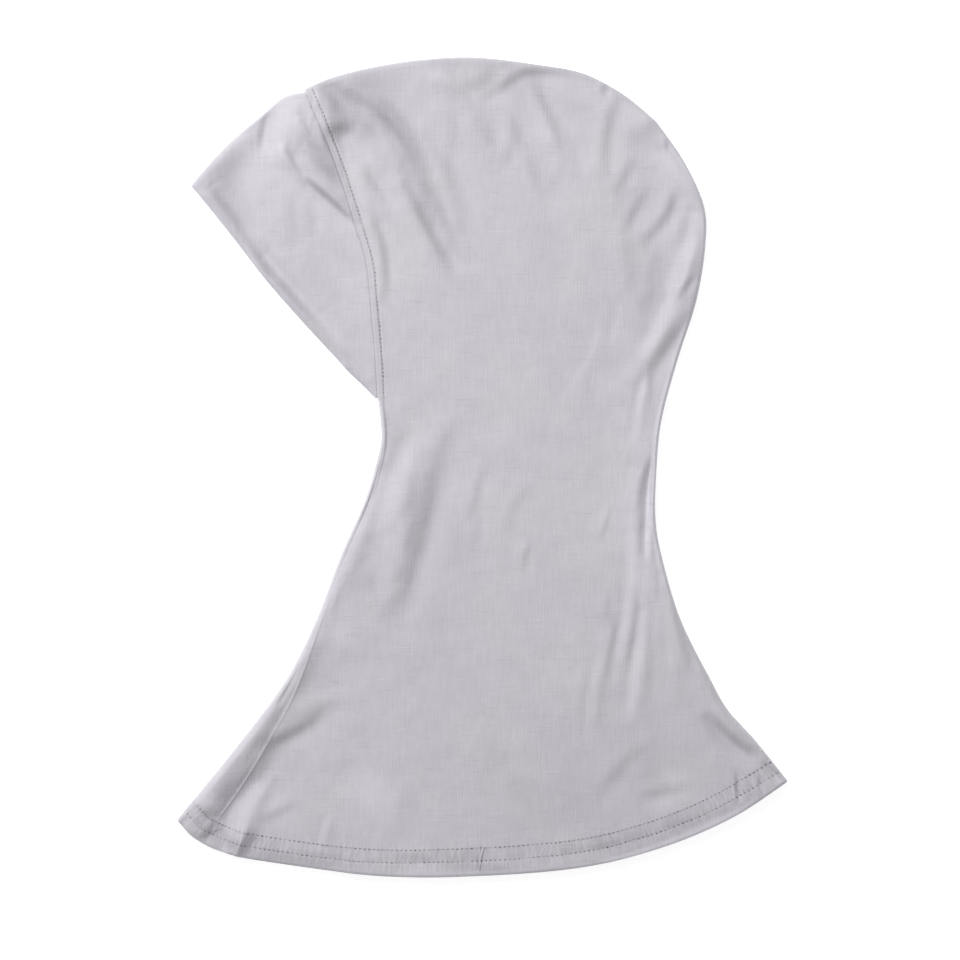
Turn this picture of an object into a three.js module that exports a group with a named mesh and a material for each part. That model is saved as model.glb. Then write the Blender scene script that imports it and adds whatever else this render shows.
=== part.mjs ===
import * as THREE from 'three';

// Hijab underscarf cap lying flat on its side, face to -X, crown to +Y, millimetres.
// The upper layer is the wearer's left side. The two layers stand apart as the head hollow.

// Main sizes
const FLAT_HEIGHT = 435;
const FLAT_WIDTH = 324;
const CLOTH = 1.0;
const DOUBLED = 1.8;
const GAP = 0.3;
const HEM_GAP = 0.5;
const NECK_SEAM_GAP = 0.55;
const HEM_DEPTH = 13.8;

// The front neck seam lies in from the fold by so much: at the chin, at the throat, at the hem
const CHIN_WRAP = 1.6;
const THROAT_WRAP = 2.8;
const HEM_WRAP = 15.5;
const THROAT_SPAN = 0.5;
const FLARE_START = 0.45;

// Air in the hood: the height of the upper layer's underside over the surface
const PUFF = 8.0;
const ROLL = 15;
const EDGE_RISE = CLOTH + GAP;
const BAND_EDGE_RISE = DOUBLED + GAP;

// How finely the cloth is divided, each number a count of cells
const FACE_CELLS = 16;
const NECK_CELLS = 24;
const ACROSS_CELLS = 24;
const LOWER_ACROSS_CELLS = 14;
const HEM_UPPER_CELLS = 38;
const BAND_ACROSS_CELLS = 9;
const EDGE_SAMPLES = 90;
const FOLD_SAMPLES = 14;

// Outline edges of the flat cap, as shares of the flat width and the flat height
const CROWN_EDGE = [
  { across: 0.2079, up: 0.9612 },
  { across: 0.2520, up: 0.9752 },
  { across: 0.3191, up: 0.9880 },
  { across: 0.4010, up: 0.9973 },
  { across: 0.4894, up: 1.0000 },
  { across: 0.5941, up: 0.9909 },
  { across: 0.6645, up: 0.9805 },
  { across: 0.7283, up: 0.9562 },
  { across: 0.7840, up: 0.9220 },
];
const BACK_EDGE = [
  { across: 0.7840, up: 0.9220 },
  { across: 0.8298, up: 0.8733 },
  { across: 0.8625, up: 0.8197 },
  { across: 0.8658, up: 0.7710 },
  { across: 0.8511, up: 0.7028 },
  { across: 0.8200, up: 0.6297 },
  { across: 0.7938, up: 0.5566 },
  { across: 0.7856, up: 0.4957 },
  { across: 0.7840, up: 0.4348 },
  { across: 0.7954, up: 0.3861 },
  { across: 0.8249, up: 0.3130 },
  { across: 0.8740, up: 0.2400 },
  { across: 0.9018, up: 0.2034 },
  { across: 0.9460, up: 0.1669 },
  { across: 1.0000, up: 0.1169 },
];
const FACE_SEAM = [
  { across: 0.2079, up: 0.9612 },
  { across: 0.2308, up: 0.9220 },
  { across: 0.2553, up: 0.8782 },
  { across: 0.2750, up: 0.8368 },
  { across: 0.2930, up: 0.7929 },
  { across: 0.3110, up: 0.7467 },
  { across: 0.3191, up: 0.6882 },
  { across: 0.3257, up: 0.6297 },
  { across: 0.3290, up: 0.5810 },
];
const NECK_FOLD = [
  { across: 0.3290, up: 0.5810 },
  { across: 0.3339, up: 0.5347 },
  { across: 0.3257, up: 0.5043 },
  { across: 0.3077, up: 0.4592 },
  { across: 0.2684, up: 0.3922 },
  { across: 0.2275, up: 0.3130 },
  { across: 0.1784, up: 0.2400 },
  { across: 0.1064, up: 0.1669 },
  { across: 0.0311, up: 0.0974 },
  { across: 0.0000, up: 0.0694 },
];
const HEM_EDGE = [
  { across: 0.0000, up: 0.0694 },
  { across: 0.0311, up: 0.0463 },
  { across: 0.0884, up: 0.0268 },
  { across: 0.2013, up: 0.0122 },
  { across: 0.3486, up: 0.0006 },
  { across: 0.4894, up: 0.0012 },
  { across: 0.6268, up: 0.0085 },
  { across: 0.7218, up: 0.0207 },
  { across: 0.8265, up: 0.0451 },
  { across: 0.9182, up: 0.0767 },
  { across: 1.0000, up: 0.1169 },
];
const BAND_FOLD = [
  { across: 0.2062, up: 0.9560 },
  { across: 0.1735, up: 0.9490 },
  { across: 0.1391, up: 0.9280 },
  { across: 0.0802, up: 0.8910 },
  { across: 0.0213, up: 0.8429 },
];
const BAND_FREE_EDGE = [
  { across: 0.0213, up: 0.8429 },
  { across: 0.0426, up: 0.8246 },
  { across: 0.0949, up: 0.7759 },
  { across: 0.1457, up: 0.7272 },
  { across: 0.2029, up: 0.6784 },
  { across: 0.2635, up: 0.6297 },
  { across: 0.3257, up: 0.5822 },
];

// Broad swellings of the upper layer: a place, a reach and a rise in millimetres
const SWELLINGS = [
  { across: 0.56, up: 0.80, reach: 85, rise: 1.3 },
  { across: 0.30, up: 0.88, reach: 32, rise: 0.9 },
  { across: 0.42, up: 0.46, reach: 26, rise: 0.8 },
  { across: 0.70, up: 0.17, reach: 60, rise: 0.7 },
  { across: 0.25, up: 0.17, reach: 45, rise: 0.5 },
];

// Folds of the upper layer, each along a bent line: rise and half width in millimetres
const FOLDS = [
  { name: 'crown front valley', from: [0.277, 0.957], via: [0.425, 0.880], to: [0.456, 0.733], rise: -2.3, width: 7.5 },
  { name: 'crown front ridge', from: [0.250, 0.930], via: [0.345, 0.850], to: [0.365, 0.760], rise: 1.4, width: 10 },
  { name: 'temple dimple', from: [0.262, 0.925], via: [0.257, 0.910], to: [0.253, 0.885], rise: -1.5, width: 6 },
  { name: 'seam side valley', from: [0.328, 0.800], via: [0.352, 0.745], to: [0.342, 0.690], rise: -1.2, width: 6 },
  { name: 'crown top valley', from: [0.515, 0.968], via: [0.560, 0.985], to: [0.640, 0.978], rise: -1.0, width: 6 },
  { name: 'crown middle valley', from: [0.450, 0.934], via: [0.452, 0.885], to: [0.445, 0.832], rise: -0.8, width: 9 },
  { name: 'crown slant valley', from: [0.583, 0.961], via: [0.615, 0.920], to: [0.640, 0.860], rise: -1.0, width: 8 },
  { name: 'back crown valley', from: [0.720, 0.945], via: [0.690, 0.895], to: [0.705, 0.835], rise: -1.1, width: 7 },
  { name: 'back crown ridge', from: [0.770, 0.905], via: [0.742, 0.870], to: [0.715, 0.830], rise: 0.8, width: 7 },
  { name: 'nape ridge', from: [0.850, 0.770], via: [0.812, 0.690], to: [0.760, 0.640], rise: 1.8, width: 6 },
  { name: 'nape valley', from: [0.838, 0.725], via: [0.805, 0.655], to: [0.750, 0.595], rise: -2.2, width: 6.5 },
  { name: 'neck front valley', from: [0.472, 0.580], via: [0.405, 0.480], to: [0.362, 0.335], rise: -2.2, width: 9 },
  { name: 'neck front ridge', from: [0.385, 0.560], via: [0.352, 0.480], to: [0.335, 0.415], rise: 1.2, width: 7 },
  { name: 'neck back valley', from: [0.782, 0.510], via: [0.750, 0.455], to: [0.757, 0.400], rise: -1.8, width: 6.5 },
  { name: 'neck back ridge', from: [0.757, 0.590], via: [0.745, 0.540], to: [0.742, 0.500], rise: 0.8, width: 6 },
  { name: 'neck middle valley', from: [0.520, 0.510], via: [0.500, 0.480], to: [0.480, 0.450], rise: -0.7, width: 7 },
  { name: 'shoulder back ridge', from: [0.750, 0.360], via: [0.735, 0.270], to: [0.740, 0.190], rise: 1.2, width: 8 },
  { name: 'shoulder back valley', from: [0.715, 0.320], via: [0.700, 0.270], to: [0.688, 0.220], rise: -1.3, width: 7 },
  { name: 'shoulder edge valley', from: [0.808, 0.310], via: [0.870, 0.205], to: [0.935, 0.155], rise: -1.1, width: 6 },
  { name: 'shoulder low valley', from: [0.745, 0.155], via: [0.715, 0.125], to: [0.695, 0.105], rise: -1.1, width: 10 },
  { name: 'front low valley', from: [0.240, 0.205], via: [0.140, 0.150], to: [0.055, 0.062], rise: -1.7, width: 9 },
  { name: 'front low ridge', from: [0.180, 0.135], via: [0.120, 0.090], to: [0.085, 0.045], rise: 0.9, width: 6 },
  { name: 'front high valley', from: [0.316, 0.412], via: [0.270, 0.330], to: [0.222, 0.258], rise: -0.9, width: 7 },
  { name: 'band top ridge', from: [0.187, 0.935], via: [0.150, 0.895], to: [0.152, 0.860], rise: 0.9, width: 9 },
  { name: 'band long valley', from: [0.215, 0.850], via: [0.250, 0.835], to: [0.285, 0.808], rise: -1.0, width: 6 },
  { name: 'band tip valley', from: [0.080, 0.868], via: [0.076, 0.845], to: [0.078, 0.820], rise: -0.9, width: 6 },
];

function clamp(value) {
  return Math.min(1, Math.max(0, value));
}

function ease(value) {
  const t = clamp(value);
  return t * t * (3 - 2 * t);
}

function place(across, up) {
  return new THREE.Vector2(across * FLAT_WIDTH, up * FLAT_HEIGHT);
}

function edgeCurve(rows) {
  return new THREE.SplineCurve(rows.map((row) => place(row.across, row.up)));
}

const crown = edgeCurve(CROWN_EDGE);
const back = edgeCurve(BACK_EDGE);
const faceSeam = edgeCurve(FACE_SEAM);
const neckFold = edgeCurve(NECK_FOLD);
const hemEdge = edgeCurve(HEM_EDGE);
const bandFold = edgeCurve(BAND_FOLD);
const bandFreeEdge = edgeCurve(BAND_FREE_EDGE);

// Edges where the two layers meet, as chains of short straight pieces
const closedChains = [crown, back, neckFold, bandFold].map((curve) => curve.getSpacedPoints(EDGE_SAMPLES));

function chainDistance(point, chain) {
  let nearest = Infinity;
  let share = 0;
  const steps = chain.length - 1;
  for (let i = 0; i < steps; i += 1) {
    const a = chain[i];
    const b = chain[i + 1];
    const dx = b.x - a.x;
    const dy = b.y - a.y;
    const t = clamp(((point.x - a.x) * dx + (point.y - a.y) * dy) / (dx * dx + dy * dy));
    const distance = Math.hypot(point.x - a.x - t * dx, point.y - a.y - t * dy);
    if (distance < nearest) {
      nearest = distance;
      share = (i + t) / steps;
    }
  }
  return { nearest, share };
}

function edgeDistance(point) {
  return Math.min(...closedChains.map((chain) => chainDistance(point, chain).nearest));
}

// The relief of the upper layer. A fold keeps this share of its rise at its ends.
const FOLD_END = 0.35;
const foldChains = FOLDS.map((fold) => {
  const curve = new THREE.QuadraticBezierCurve(place(...fold.from), place(...fold.via), place(...fold.to));
  return { chain: curve.getPoints(FOLD_SAMPLES), rise: fold.rise, width: fold.width };
});

function relief(point) {
  let height = 0;
  for (const spot of SWELLINGS) {
    const centre = place(spot.across, spot.up);
    height += spot.rise * Math.exp(-point.distanceToSquared(centre) / spot.reach ** 2);
  }
  for (const fold of foldChains) {
    const { nearest, share } = chainDistance(point, fold.chain);
    const taper = FOLD_END + (1 - FOLD_END) * Math.sin(Math.PI * share);
    height += fold.rise * taper * Math.exp(-((nearest / fold.width) ** 2));
  }
  return height;
}

// Top side of the upper layer: it rises round a closed edge and then swells and folds
function topHeight(point, thickness, edgeRise, distance = edgeDistance(point)) {
  const t = 1 - clamp(distance / ROLL);
  const round = Math.sqrt(1 - t * t);
  const full = PUFF + thickness - edgeRise + relief(point) * ease(distance / ROLL);
  return edgeRise + full * round;
}

// Shares from 0 to 1 in even cells, with closer rows of the named reaches at either end
function spread(cells, length, startReaches, endReaches) {
  const start = startReaches.map((reach) => reach / length);
  const end = endReaches.map((reach) => 1 - reach / length).reverse();
  const from = start.length ? start[start.length - 1] : 0;
  const to = end.length ? end[0] : 1;
  const shares = [0, ...start];
  for (let i = 1; i < cells; i += 1) {
    shares.push(from + ((to - from) * i) / cells);
  }
  return [...shares, ...end, 1];
}

// The hood's plan as one patch between its four edges: s runs front to back, r runs down
const HEM_FRONT_SLANT = 1.16;
const HEM_BACK_SLANT = 1.12;
const CHIN_SHARE = FACE_CELLS / (FACE_CELLS + NECK_CELLS);
const HEM_FRONT_SHARE = 1 - (HEM_DEPTH * HEM_FRONT_SLANT) / neckFold.getLength();
const HEM_BACK_SHARE = 1 - (HEM_DEPTH * HEM_BACK_SLANT) / back.getLength();
const HEM_TURN = 0.07;
const HEM_ROW = 1 - HEM_GAP / 2 / FLAT_HEIGHT;

function hemTop(s) {
  const edge = hemEdge.getPointAt(s);
  const tangent = hemEdge.getTangentAt(s);
  const inner = new THREE.Vector2(-tangent.y, tangent.x).multiplyScalar(HEM_DEPTH).add(edge);
  const front = neckFold.getPointAt(HEM_FRONT_SHARE).sub(hemEdge.getPointAt(0)).add(edge);
  const rear = back.getPointAt(HEM_BACK_SHARE).sub(hemEdge.getPointAt(1)).add(edge);
  inner.lerp(front, 1 - ease(s / HEM_TURN));
  inner.lerp(rear, ease((s - 1 + HEM_TURN) / HEM_TURN));
  return inner;
}

function frontEdge(r) {
  if (r <= CHIN_SHARE) {
    return faceSeam.getPointAt(clamp(r / CHIN_SHARE));
  }
  return neckFold.getPointAt((HEM_FRONT_SHARE * (r - CHIN_SHARE)) / (1 - CHIN_SHARE));
}

function backEdge(r) {
  return back.getPointAt(HEM_BACK_SHARE * r);
}

function plan(s, r) {
  const front = frontEdge(r);
  const rear = backEdge(r);
  const top = crown.getPointAt(s);
  const base = hemTop(s);
  const corner = (at) => {
    const a = frontEdge(0)[at] * (1 - s) * (1 - r) + backEdge(0)[at] * s * (1 - r);
    const b = frontEdge(1)[at] * (1 - s) * r + backEdge(1)[at] * s * r;
    return a + b;
  };
  const blend = (at) => front[at] * (1 - s) + rear[at] * s + top[at] * (1 - r) + base[at] * r - corner(at);
  return new THREE.Vector2(blend('x'), blend('y'));
}

function rowWidth(r) {
  return frontEdge(r).distanceTo(backEdge(r));
}

// How far the front neck seam lies in from the fold, measured along a row
function wrapAt(r) {
  const t = clamp((r - CHIN_SHARE) / (1 - CHIN_SHARE));
  const throat = (THROAT_WRAP - CHIN_WRAP) * Math.sin(Math.PI * clamp(t / THROAT_SPAN));
  const flare = (HEM_WRAP - CHIN_WRAP) * ease((t - FLARE_START) / (1 - FLARE_START));
  return CHIN_WRAP + throat + flare;
}

// Close rows near the edges, millimetres in from the edge
const CROWN_REACHES = [2.5, 7, 14];
const FRONT_REACHES = [3, 7];
const BACK_REACHES = [2, 5, 10];
const LOWER_REACHES = [4];
const HEM_END_REACHES = [2, 6, 12];

const FACE_SHARES = spread(FACE_CELLS - CROWN_REACHES.length, faceSeam.getLength(), CROWN_REACHES, []);
const ROWS = [
  ...FACE_SHARES.map((share) => share * CHIN_SHARE),
  ...spread(NECK_CELLS, 1, [], []).slice(1).map((share) => CHIN_SHARE + share * (1 - CHIN_SHARE)),
];

// A sheet of cloth between an outer and an inner grid of points, closed round its rim
function clothGeometry(outer, inner, ring = false) {
  const rows = outer.length;
  const columns = outer[0].length;
  const positions = [];
  const indices = [];
  for (const grid of [outer, inner]) {
    for (const row of grid) {
      for (const point of row) {
        positions.push(point.x, point.y, point.z);
      }
    }
  }
  const at = (layer, i, j) => layer * rows * columns + (i % rows) * columns + j;
  const quad = (a, b, c, d) => indices.push(a, b, c, a, c, d);
  const spans = ring ? rows : rows - 1;
  for (let i = 0; i < spans; i += 1) {
    for (let j = 0; j < columns - 1; j += 1) {
      quad(at(0, i, j), at(0, i + 1, j), at(0, i + 1, j + 1), at(0, i, j + 1));
      quad(at(1, i, j), at(1, i, j + 1), at(1, i + 1, j + 1), at(1, i + 1, j));
    }
    quad(at(0, i, 0), at(1, i, 0), at(1, i + 1, 0), at(0, i + 1, 0));
    const last = columns - 1;
    quad(at(0, i, last), at(0, i + 1, last), at(1, i + 1, last), at(1, i, last));
  }
  if (!ring) {
    const end = rows - 1;
    for (let j = 0; j < columns - 1; j += 1) {
      quad(at(0, 0, j), at(0, 0, j + 1), at(1, 0, j + 1), at(1, 0, j));
      quad(at(0, end, j), at(1, end, j), at(1, end, j + 1), at(0, end, j + 1));
    }
  }
  const geometry = new THREE.BufferGeometry();
  geometry.setAttribute('position', new THREE.Float32BufferAttribute(positions, 3));
  geometry.setIndex(indices);
  geometry.computeVertexNormals();
  return geometry;
}

// Normals of a grid of points, facing up where the grid lies flat
function gridNormals(grid) {
  const rows = grid.length;
  const columns = grid[0].length;
  return grid.map((row, i) => row.map((_, j) => {
    const down = grid[Math.min(rows - 1, i + 1)][j].clone().sub(grid[Math.max(0, i - 1)][j]);
    const over = row[Math.min(columns - 1, j + 1)].clone().sub(row[Math.max(0, j - 1)]);
    const normal = down.cross(over).normalize();
    return normal.z < 0 ? normal.negate() : normal;
  }));
}

// The inner side of a sheet. At a closed edge it lies level with the outer side.
function insideOf(outer, thickness, isClosedEdge) {
  const normals = gridNormals(outer);
  return outer.map((row, i) => row.map((point, j) => {
    const normal = normals[i][j].clone();
    if (isClosedEdge(i, j)) {
      normal.z = 0;
      normal.normalize();
    }
    return point.clone().addScaledVector(normal, -thickness);
  }));
}

function lift(flat, height) {
  return new THREE.Vector3(flat.x, flat.y, height);
}

function leftPanel() {
  const lastRow = ROWS.length - 1;
  const outer = ROWS.map((r, i) => {
    const width = rowWidth(r);
    const shares = spread(ACROSS_CELLS, width, FRONT_REACHES, BACK_REACHES);
    const start = (r < CHIN_SHARE ? GAP / 2 : wrapAt(r) + NECK_SEAM_GAP / 2) / width;
    const onChin = Math.abs(r - CHIN_SHARE) < 1e-6;
    const inset = onChin ? (CHIN_WRAP + GAP / 2) / width : start;
    const row = i === lastRow ? HEM_ROW : r;
    return shares.map((share) => {
      const flat = plan(inset + (1 - inset) * share, row);
      return lift(flat, topHeight(flat, CLOTH, EDGE_RISE));
    });
  });
  const lastColumn = outer[0].length - 1;
  const inner = insideOf(outer, CLOTH, (i, j) => i === 0 || j === lastColumn);
  return clothGeometry(outer, inner);
}

// The fold of the front lower edge: reach in from the outline and height, outer and inner
const FOLD_PATH = [
  { outerIn: 1.30, outerUp: 0.00, innerIn: 1.30, innerUp: 1.00 },
  { outerIn: 0.38, outerUp: 0.38, innerIn: 1.09, innerUp: 1.09 },
  { outerIn: 0.00, outerUp: 1.30, innerIn: 1.00, innerUp: 1.30 },
];
const WRAP_SHARES = [0.3, 0.65, 1];

function rightPanel() {
  const outer = [];
  const inner = [];
  ROWS.forEach((r) => {
    const width = rowWidth(r);
    const wrapped = r > CHIN_SHARE + 1e-6;
    const row = r === 1 ? HEM_ROW : r;
    const outerRow = [];
    const innerRow = [];
    const wrap = wrapAt(r) - NECK_SEAM_GAP / 2;
    for (const share of [...WRAP_SHARES].reverse()) {
      const reach = wrapped ? wrap * share : GAP / 2 + (1 - share) * 0.5;
      const flat = plan(reach / width, row);
      if (wrapped) {
        const step = plan((reach + 0.4) / width, row);
        const height = topHeight(flat, CLOTH, EDGE_RISE);
        const slope = Math.atan2(topHeight(step, CLOTH, EDGE_RISE) - height, step.distanceTo(flat));
        const inward = step.clone().sub(flat).normalize();
        outerRow.push(lift(flat, height));
        const insidePoint = flat.clone().addScaledVector(inward, CLOTH * Math.sin(slope));
        innerRow.push(lift(insidePoint, height - CLOTH * Math.cos(slope)));
      } else {
        outerRow.push(lift(flat, 0));
        innerRow.push(lift(flat, CLOTH));
      }
    }
    [...FOLD_PATH].reverse().forEach((step, k) => {
      if (wrapped) {
        outerRow.push(lift(plan(step.outerIn / width, row), step.outerUp));
        innerRow.push(lift(plan(step.innerIn / width, row), step.innerUp));
      } else {
        const flat = plan((GAP / 2 + 0.7 + k * 0.25) / width, row);
        outerRow.push(lift(flat, 0));
        innerRow.push(lift(flat, CLOTH));
      }
    });
    for (const share of spread(LOWER_ACROSS_CELLS, width, LOWER_REACHES, []).slice(1)) {
      const flat = plan(share, row);
      outerRow.push(lift(flat, 0));
      innerRow.push(lift(flat, CLOTH));
    }
    outer.push(outerRow);
    inner.push(innerRow);
  });
  return clothGeometry(inner, outer);
}

// The bend of doubled cloth at a fold, in the same terms
const DOUBLED_BEND = [
  { outerIn: 0.62, outerUp: 0.62, innerIn: 1.89, innerUp: 1.89 },
  { outerIn: 2.10, outerUp: 0.00, innerIn: 2.10, innerUp: 1.80 },
];

// The face band: cross lines from the face seam to the free edge, a lower and an upper half
const BAND_END = 0.94;

function bandLine(share, across, reach = 0) {
  if (share === 0) {
    const fold = bandFold.getPointAt(across);
    const tangent = bandFold.getTangentAt(across);
    return fold.addScaledVector(new THREE.Vector2(-tangent.y, tangent.x), reach);
  }
  const seam = faceSeam.getPointAt(share);
  const tangent = faceSeam.getTangentAt(share);
  seam.addScaledVector(new THREE.Vector2(tangent.y, -tangent.x), GAP / 2);
  const bow = bandFold.getPointAt(across).sub(bandFold.getPointAt(0).lerp(bandFold.getPointAt(1), across));
  return seam.lerp(bandFreeEdge.getPointAt(share), across).addScaledVector(bow, (1 - share) ** 3);
}

function faceBand() {
  const acrossShares = spread(BAND_ACROSS_CELLS, 1, [], []);
  const shares = [...FACE_SHARES.filter((share) => share < BAND_END), BAND_END].reverse();
  const outer = shares.map((share) => acrossShares.map((across) => {
    const flat = bandLine(share, across);
    return lift(flat, topHeight(flat, DOUBLED, BAND_EDGE_RISE));
  }));
  const last = outer.length - 1;
  const inner = insideOf(outer, DOUBLED, (i) => i === last);
  for (const step of DOUBLED_BEND) {
    outer.push(acrossShares.map((across) => lift(bandLine(0, across, step.outerIn), step.outerUp)));
    inner.push(acrossShares.map((across) => lift(bandLine(0, across, step.innerIn), step.innerUp)));
  }
  for (const share of shares.slice(0, -1).reverse()) {
    outer.push(acrossShares.map((across) => lift(bandLine(share, across), 0)));
    inner.push(acrossShares.map((across) => lift(bandLine(share, across), DOUBLED)));
  }
  return clothGeometry(outer, inner);
}

// The hem: one loop round both halves, its top line against the panels
const HEM_ACROSS = [0, 0.4, 0.8, 1];

function hemLine(s, down) {
  const top = hemTop(s);
  const edge = hemEdge.getPointAt(s);
  const start = HEM_GAP / 2 / HEM_DEPTH;
  return top.lerp(edge, start + (1 - start) * down);
}

function hemBand() {
  const length = hemEdge.getLength();
  const upperShares = spread(HEM_UPPER_CELLS, length, HEM_END_REACHES, HEM_END_REACHES);
  const top = upperShares.map((s) => HEM_ACROSS.map((down) => {
    const flat = hemLine(s, down);
    const distance = Math.min(edgeDistance(flat), s * length, (1 - s) * length);
    return lift(flat, topHeight(flat, DOUBLED, BAND_EDGE_RISE, distance));
  }));
  const last = top.length - 1;
  const under = insideOf(top, DOUBLED, (i) => i === 0 || i === last);
  const outer = [...top];
  const inner = [...under];
  const bendAt = (s, sign, step) => HEM_ACROSS.map((down) => ({
    out: lift(hemLine(s + (sign * step.outerIn) / length, down), step.outerUp),
    in: lift(hemLine(s + (sign * step.innerIn) / length, down), step.innerUp),
  }));
  for (const step of DOUBLED_BEND) {
    const pairs = bendAt(1, -1, step);
    outer.push(pairs.map((pair) => pair.out));
    inner.push(pairs.map((pair) => pair.in));
  }
  const lowerShares = spread(LOWER_ACROSS_CELLS, rowWidth(1), LOWER_REACHES, []).slice(1, -1).reverse();
  for (const s of lowerShares) {
    outer.push(HEM_ACROSS.map((down) => lift(hemLine(s, down), 0)));
    inner.push(HEM_ACROSS.map((down) => lift(hemLine(s, down), DOUBLED)));
  }
  for (const step of [...DOUBLED_BEND].reverse()) {
    const pairs = bendAt(0, 1, step);
    outer.push(pairs.map((pair) => pair.out));
    inner.push(pairs.map((pair) => pair.in));
  }
  return clothGeometry(inner, outer, true);
}

// Assembly
const group = new THREE.Group();

function addPiece(name, geometry, color) {
  const material = new THREE.MeshStandardMaterial({ color, roughness: 0.95, metalness: 0 });
  const mesh = new THREE.Mesh(geometry, material);
  mesh.name = name;
  group.add(mesh);
}

addPiece('left_panel', leftPanel(), 0xcbc8cf);
addPiece('right_panel', rightPanel(), 0xc6c3cb);
addPiece('face_band', faceBand(), 0xc5c2c9);
addPiece('hem_band', hemBand(), 0xc2bfc8);

// The origin is the middle of the box on the surface
const box = new THREE.Box3().setFromObject(group);
const middle = box.getCenter(new THREE.Vector3());
group.children.forEach((mesh) => mesh.geometry.translate(-middle.x, -middle.y, -box.min.z));

export default group;
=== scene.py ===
"""Looks of a hijab underscarf cap that lies flat on its side on a pale surface.

Lengths in the tables are millimetres in the part's own frame: +X points to the back of the head, +Y to the
crown and +Z up.
"""

import logging
import math
from dataclasses import dataclass
from enum import Enum
from typing import Callable

import bmesh
import bpy
import numpy as np
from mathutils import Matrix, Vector


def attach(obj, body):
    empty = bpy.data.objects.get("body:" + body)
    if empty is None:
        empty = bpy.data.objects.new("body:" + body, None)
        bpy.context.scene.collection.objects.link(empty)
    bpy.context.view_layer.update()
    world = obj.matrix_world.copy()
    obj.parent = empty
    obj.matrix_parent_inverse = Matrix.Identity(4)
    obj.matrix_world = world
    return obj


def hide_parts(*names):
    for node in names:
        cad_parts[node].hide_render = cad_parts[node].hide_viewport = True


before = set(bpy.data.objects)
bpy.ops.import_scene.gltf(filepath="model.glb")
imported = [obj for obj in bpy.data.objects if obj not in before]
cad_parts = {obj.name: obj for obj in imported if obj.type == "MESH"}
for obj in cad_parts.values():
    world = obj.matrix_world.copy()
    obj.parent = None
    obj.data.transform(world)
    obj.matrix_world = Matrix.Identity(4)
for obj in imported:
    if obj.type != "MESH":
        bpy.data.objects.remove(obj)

MM = 0.001
MIDDLE_HEIGHT = 0.004
BEND_ROOM = 0.3
log = logging.getLogger("underscarf_cap")

Pair = tuple[float, float]
Place = Callable[[np.ndarray, np.ndarray], np.ndarray]


class Facing(Enum):
    """Which way a sheet's outer side looks before its thickness is given."""

    UP = 1
    DOWN = -1


@dataclass(frozen=True)
class Fold:
    """One fold of the upper layer along a bent line.

    Args:
        name: What the fold is.
        start: One end of the line, the high side on its right hand.
        middle: The point halfway along it.
        end: The other end.
        width: Half width in millimetres.
        rise: Height of the ridge along the line in millimetres, below zero for a valley.
        drop: How far the cloth falls across the line in millimetres, from its right side to its left.
        painted_shade: Painted shade along the line as a share of the colour, painted highlight below zero.
    """

    name: str
    start: Pair
    middle: Pair
    end: Pair
    width: float
    rise: float
    drop: float
    painted_shade: float
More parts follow.
